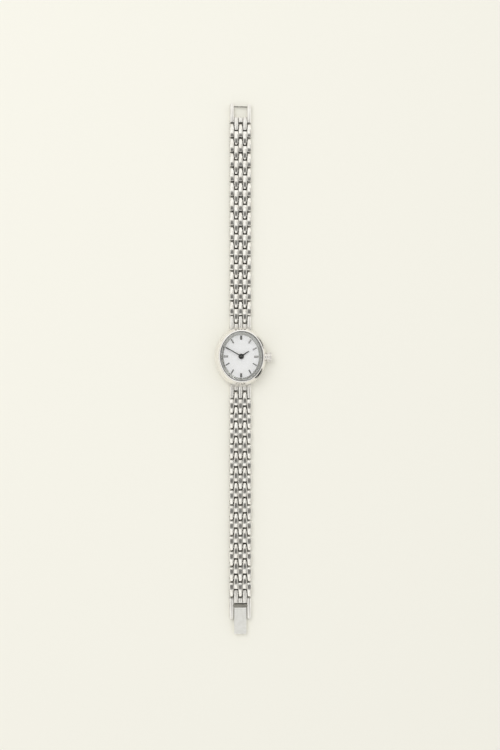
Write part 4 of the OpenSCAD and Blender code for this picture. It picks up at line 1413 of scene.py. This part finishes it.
@dataclass
class Studio:
    """A plain pale floor, soft light from above and the camera of the photograph.

    Attributes:
        floor_colour: colour of the floor's card.
        floor_half_m: from the floor's middle to its edges, in metres.
        floor_z_mm: its height, just under the case back.
        fibre_mm: width and depth of the card's fibres.
        distance_mm: from the camera to the point that it looks at.
        west_deg: how far the camera leans to 9 o'clock.
        south_deg: how far it leans to 6 o'clock.
        frame_px: height of the photograph's frame.
        pixel_mm: size of one of its pixels at that point.
        sensor_mm: height of the camera's sensor.
        aim_mm: the point that the camera looks at.
        pale_wall: colour of the mirrored room's palest wall, as sRGB hex.
        dim_wall: colour of its dimmest wall, opposite.
        dim_bearing_deg: where that is, clockwise from 12 o'clock.
        ceiling_colour: its colour overhead.
        mirrored_light: how bright it is.
        wall_top: height at which the ceiling begins, as the sine of the angle.
        hoods: west, south, east and north reach from the lens, and colour, of each card behind
            it.
        lens_mm: width of the lens.
        lens_sides: how many sides it has.
        behind_mm: from the view point to the lens, and each card is 1 mm farther behind.
        black: colour of the lens and the flags.
        flags_deg: bearings between which the two black flags lie on the floor.
        flag_reach_mm: how far from the watch's centre they begin, at their ends and amid, and
            end.
        flag_z_mm: their height.
        even_light: strength of the light from all round.
        lamp_watts: strength of the soft lamp.
        lamp_size_m: its width, in metres.
        lamp_at_m: where it hangs, in metres.
    """

    floor_colour: str = "F3F1E6"
    floor_half_m: float = 1.5
    floor_z_mm: float = -0.03
    fibre_mm: Pair = (1.2, 0.03)
    distance_mm: float = 450.0
    west_deg: float = 5.8
    south_deg: float = 4.13
    frame_px: float = 750.0
    pixel_mm: float = 0.3558
    sensor_mm: float = 36.0
    aim_mm: Point = (3.24, -6.52, 3.4)
    pale_wall: str = "F7F5F1"
    dim_wall: str = "5C5853"
    dim_bearing_deg: float = 235.0
    ceiling_colour: str = "FFFFFD"
    mirrored_light: float = 1.08
    wall_top: float = 0.6
    hoods: tuple[tuple[float, float, float, float, str], ...] = (
        (-150.0, 420.0, 640.0, 420.0, "CDCDCB"), (170.0, 140.0, 520.0, 150.0, "B4B4B2"),
        (105.0, 98.0, 430.0, 102.0, "7E7E7D"))
    lens_mm: float = 64.0
    lens_sides: int = 24
    behind_mm: int = 5
    black: str = "1C1C1C"
    flags_deg: Pairs = ((42.0, 71.0), (114.0, 139.0))
    flag_reach_mm: Triple = (13.9, 12.4, 24.0)
    flag_z_mm: float = 0.1
    even_light: float = 0.84
    lamp_watts: float = 1.75
    lamp_size_m: float = 0.5
    lamp_at_m: Point = (-0.35, 0.3, 0.75)

    def build(self) -> None:
        """Sets up the floor, the light and the camera."""
        self.floor()
        self.surround()
        self.lamp()
        self.hood(self.camera())
        self.flags()
        LOG.info("studio is ready")

    def floor(self) -> None:
        """Lays a matt card under the watch."""
        half, low = self.floor_half_m, self.floor_z_mm * MM
        mesh = bpy.data.meshes.new("floor")
        mesh.from_pydata([(x, y, low) for x, y in (
            (-half, -half), (half, -half), (half, half), (-half, half))], [], [(0, 1, 2, 3)])
        card = place_mesh(mesh, "floor")
        made = empty_material("matt card")
        tree = made.node_tree
        width, depth = self.fibre_mm
        place = add_node(tree, "ShaderNodeTexCoord", out="Object")
        fibre = add_node(tree, "ShaderNodeTexNoise", {
            "Vector": place, "Scale": per_metre(width), "Detail": 3.0})
        bump = add_node(tree, "ShaderNodeBump", {"Height": fibre, "Distance": depth * MM})
        shader = add_node(tree, "ShaderNodeBsdfPrincipled", {
            "Base Color": linear(self.floor_colour), "Roughness": 0.9, "Specular IOR Level": 0.2,
            "Normal": bump})
        add_node(tree, "ShaderNodeOutputMaterial", {"Surface": shader}, None)
        card.data.materials.append(made)

    def surround(self) -> None:
        """Lights the scene evenly from all round.

        What the metal mirrors is a pale room with one dimmer side, under a bright ceiling.
        """
        world = bpy.data.worlds.new("pale room")
        bpy.context.scene.world = world
        world.use_nodes = True
        tree = world.node_tree
        tree.nodes.clear()
        look = add_node(tree, "ShaderNodeTexCoord", out="Generated")
        bearing = math.radians(self.dim_bearing_deg)
        away = add_node(tree, "ShaderNodeVectorMath", (
            look, (-math.sin(bearing), -math.cos(bearing), 0.0)), "Value",
            operation="DOT_PRODUCT")
        pale = add_node(tree, "ShaderNodeMapRange", (away, -1.0, 1.0))
        wall = add_node(tree, "ShaderNodeMix", {
            0: pale, FIRST: linear(self.dim_wall), SECOND: linear(self.pale_wall)}, MIXED,
            data_type="RGBA")
        height = add_node(tree, "ShaderNodeSeparateXYZ", {0: look}, 2)
        rise = add_node(tree, "ShaderNodeMapRange", (height, 0.0, self.wall_top))
        shade = add_node(tree, "ShaderNodeMix", {
            0: rise, FIRST: wall, SECOND: linear(self.ceiling_colour)}, MIXED, data_type="RGBA")
        path = add_node(tree, "ShaderNodeLightPath", out=None)
        white = linear("FFFFFF")
        mirrored, even, seen = (
            add_node(tree, "ShaderNodeBackground", {"Color": colour, "Strength": strength})
            for colour, strength in (
                (shade, self.mirrored_light), (white, self.even_light), (white, 1.0)))
        lit = add_node(tree, "ShaderNodeMixShader", (path["Is Glossy Ray"], even, mirrored))
        shown = add_node(tree, "ShaderNodeMixShader", (path["Is Camera Ray"], lit, seen))
        add_node(tree, "ShaderNodeOutputWorld", {0: shown}, None)

    def lamp(self) -> None:
        """Hangs one soft box beyond 10 o'clock, which the metal doesn't mirror as a spot."""
        light = bpy.data.lights.new("soft box", "AREA")
        light.shape = "SQUARE"
        light.size = self.lamp_size_m
        light.energy = self.lamp_watts
        light.color = (1.0, 1.0, 1.0)
        box = bpy.data.objects.new("soft box", light)
        box.location = self.lamp_at_m
        box.rotation_euler = (Vector((0, 0, 0)) - box.location).to_track_quat("-Z", "Y").to_euler()
        box.visible_glossy = False
        bpy.context.scene.collection.objects.link(box)

    def mirrored_card(self, name: str, colour: str, corners: Sequence[Point]) -> None:
        """Sets up a dark card that only shows in the metal, as a photographer's flag does.

        Args:
            name: the card's name.
            colour: its colour, as sRGB hex.
            corners: its corners in millimetres.
        """
        mesh = bpy.data.meshes.new(name)
        mesh.from_pydata([Vector(c) * MM for c in corners], [], [list(range(len(corners)))])
        card = place_mesh(mesh, name)
        made = empty_material(f"card of {name}")
        shader = add_node(made.node_tree, "ShaderNodeEmission", {"Color": linear(colour)})
        add_node(made.node_tree, "ShaderNodeOutputMaterial", {"Surface": shader}, None)
        card.data.materials.append(made)
        card.visible_camera = card.visible_diffuse = card.visible_shadow = False

    def flags(self) -> None:
        """Lays the black flags on the floor, beyond the case's crown side."""
        tip, near, far = self.flag_reach_mm
        for number, (start, end) in enumerate(self.flags_deg, 1):
            outline = ((tip, start), (far, start), (far, end), (tip, end),
                       (near, (start + 2 * end) / 3), (near, (2 * start + end) / 3))
            self.mirrored_card(f"flag_{number}", self.black, [
                (r * math.sin(math.radians(b)), r * math.cos(math.radians(b)), self.flag_z_mm)
                for r, b in outline])

    def hood(self, place: Matrix) -> None:
        """Puts the grey hoods and the black lens just behind the view point, square to the view.

        Args:
            place: the camera's place and turn.
        """
        cards = [("lens", self.black, circle(self.lens_sides, self.lens_mm / 2))]
        for number, (west, south, east, north, colour) in enumerate(reversed(self.hoods), 1):
            cards.append((f"hood_{number}", colour, [
                (-west, -south), (east, -south), (east, north), (-west, north)]))
        for behind, (name, colour, outline) in enumerate(cards, self.behind_mm):
            self.mirrored_card(name, colour, [
                tuple(place @ (Vector((x, y, behind)) * MM) / MM) for x, y in outline])

    def camera(self) -> Matrix:
        """Puts the camera where the photograph's was, with 12 o'clock at the top of its frame.

        Returns:
            Its place and turn.
        """
        lens = bpy.data.cameras.new("camera")
        lens.sensor_fit = "VERTICAL"
        lens.sensor_height = self.sensor_mm
        lens.lens = self.distance_mm / self.pixel_mm * self.sensor_mm / self.frame_px
        lens.clip_start = 0.01
        west, south = math.radians(self.west_deg), math.radians(self.south_deg)
        toward = Vector((-math.sin(west), -math.sin(south), 0))
        toward.z = math.sqrt(1 - toward.length_squared)
        right = Vector((0, 1, 0)).cross(toward).normalized()
        turn = Matrix((right, toward.cross(right), toward)).transposed().to_4x4()
        at = (Vector(self.aim_mm) + toward * self.distance_mm) * MM
        holder = bpy.data.objects.new("camera", lens)
        holder.matrix_world = Matrix.Translation(at) @ turn
        bpy.context.scene.collection.objects.link(holder)
        bpy.context.scene.camera = holder
        return holder.matrix_world.copy()


def clear_default_scene() -> None:
    """Removes what a new file holds, so that only the watch's solids and bodies stay."""
    kept = set(frame["nodes"].values()) | set(frame["bodies"].values())
    remove(*[thing for thing in bpy.data.objects if thing not in kept])


def main() -> None:
    """Builds the scene."""
    logging.basicConfig(level=logging.INFO, format="%(name)s: %(message)s")
    clear_default_scene()
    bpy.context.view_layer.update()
    CaseShell().build()
    Movement().dress()
    DialFace().build()
    Crown().build()
    Bracelet().build()
    EndFrames().dress()
    Studio().build()
    bpy.context.scene.view_settings.view_transform = "Standard"


if __name__ == "__main__":
    main()
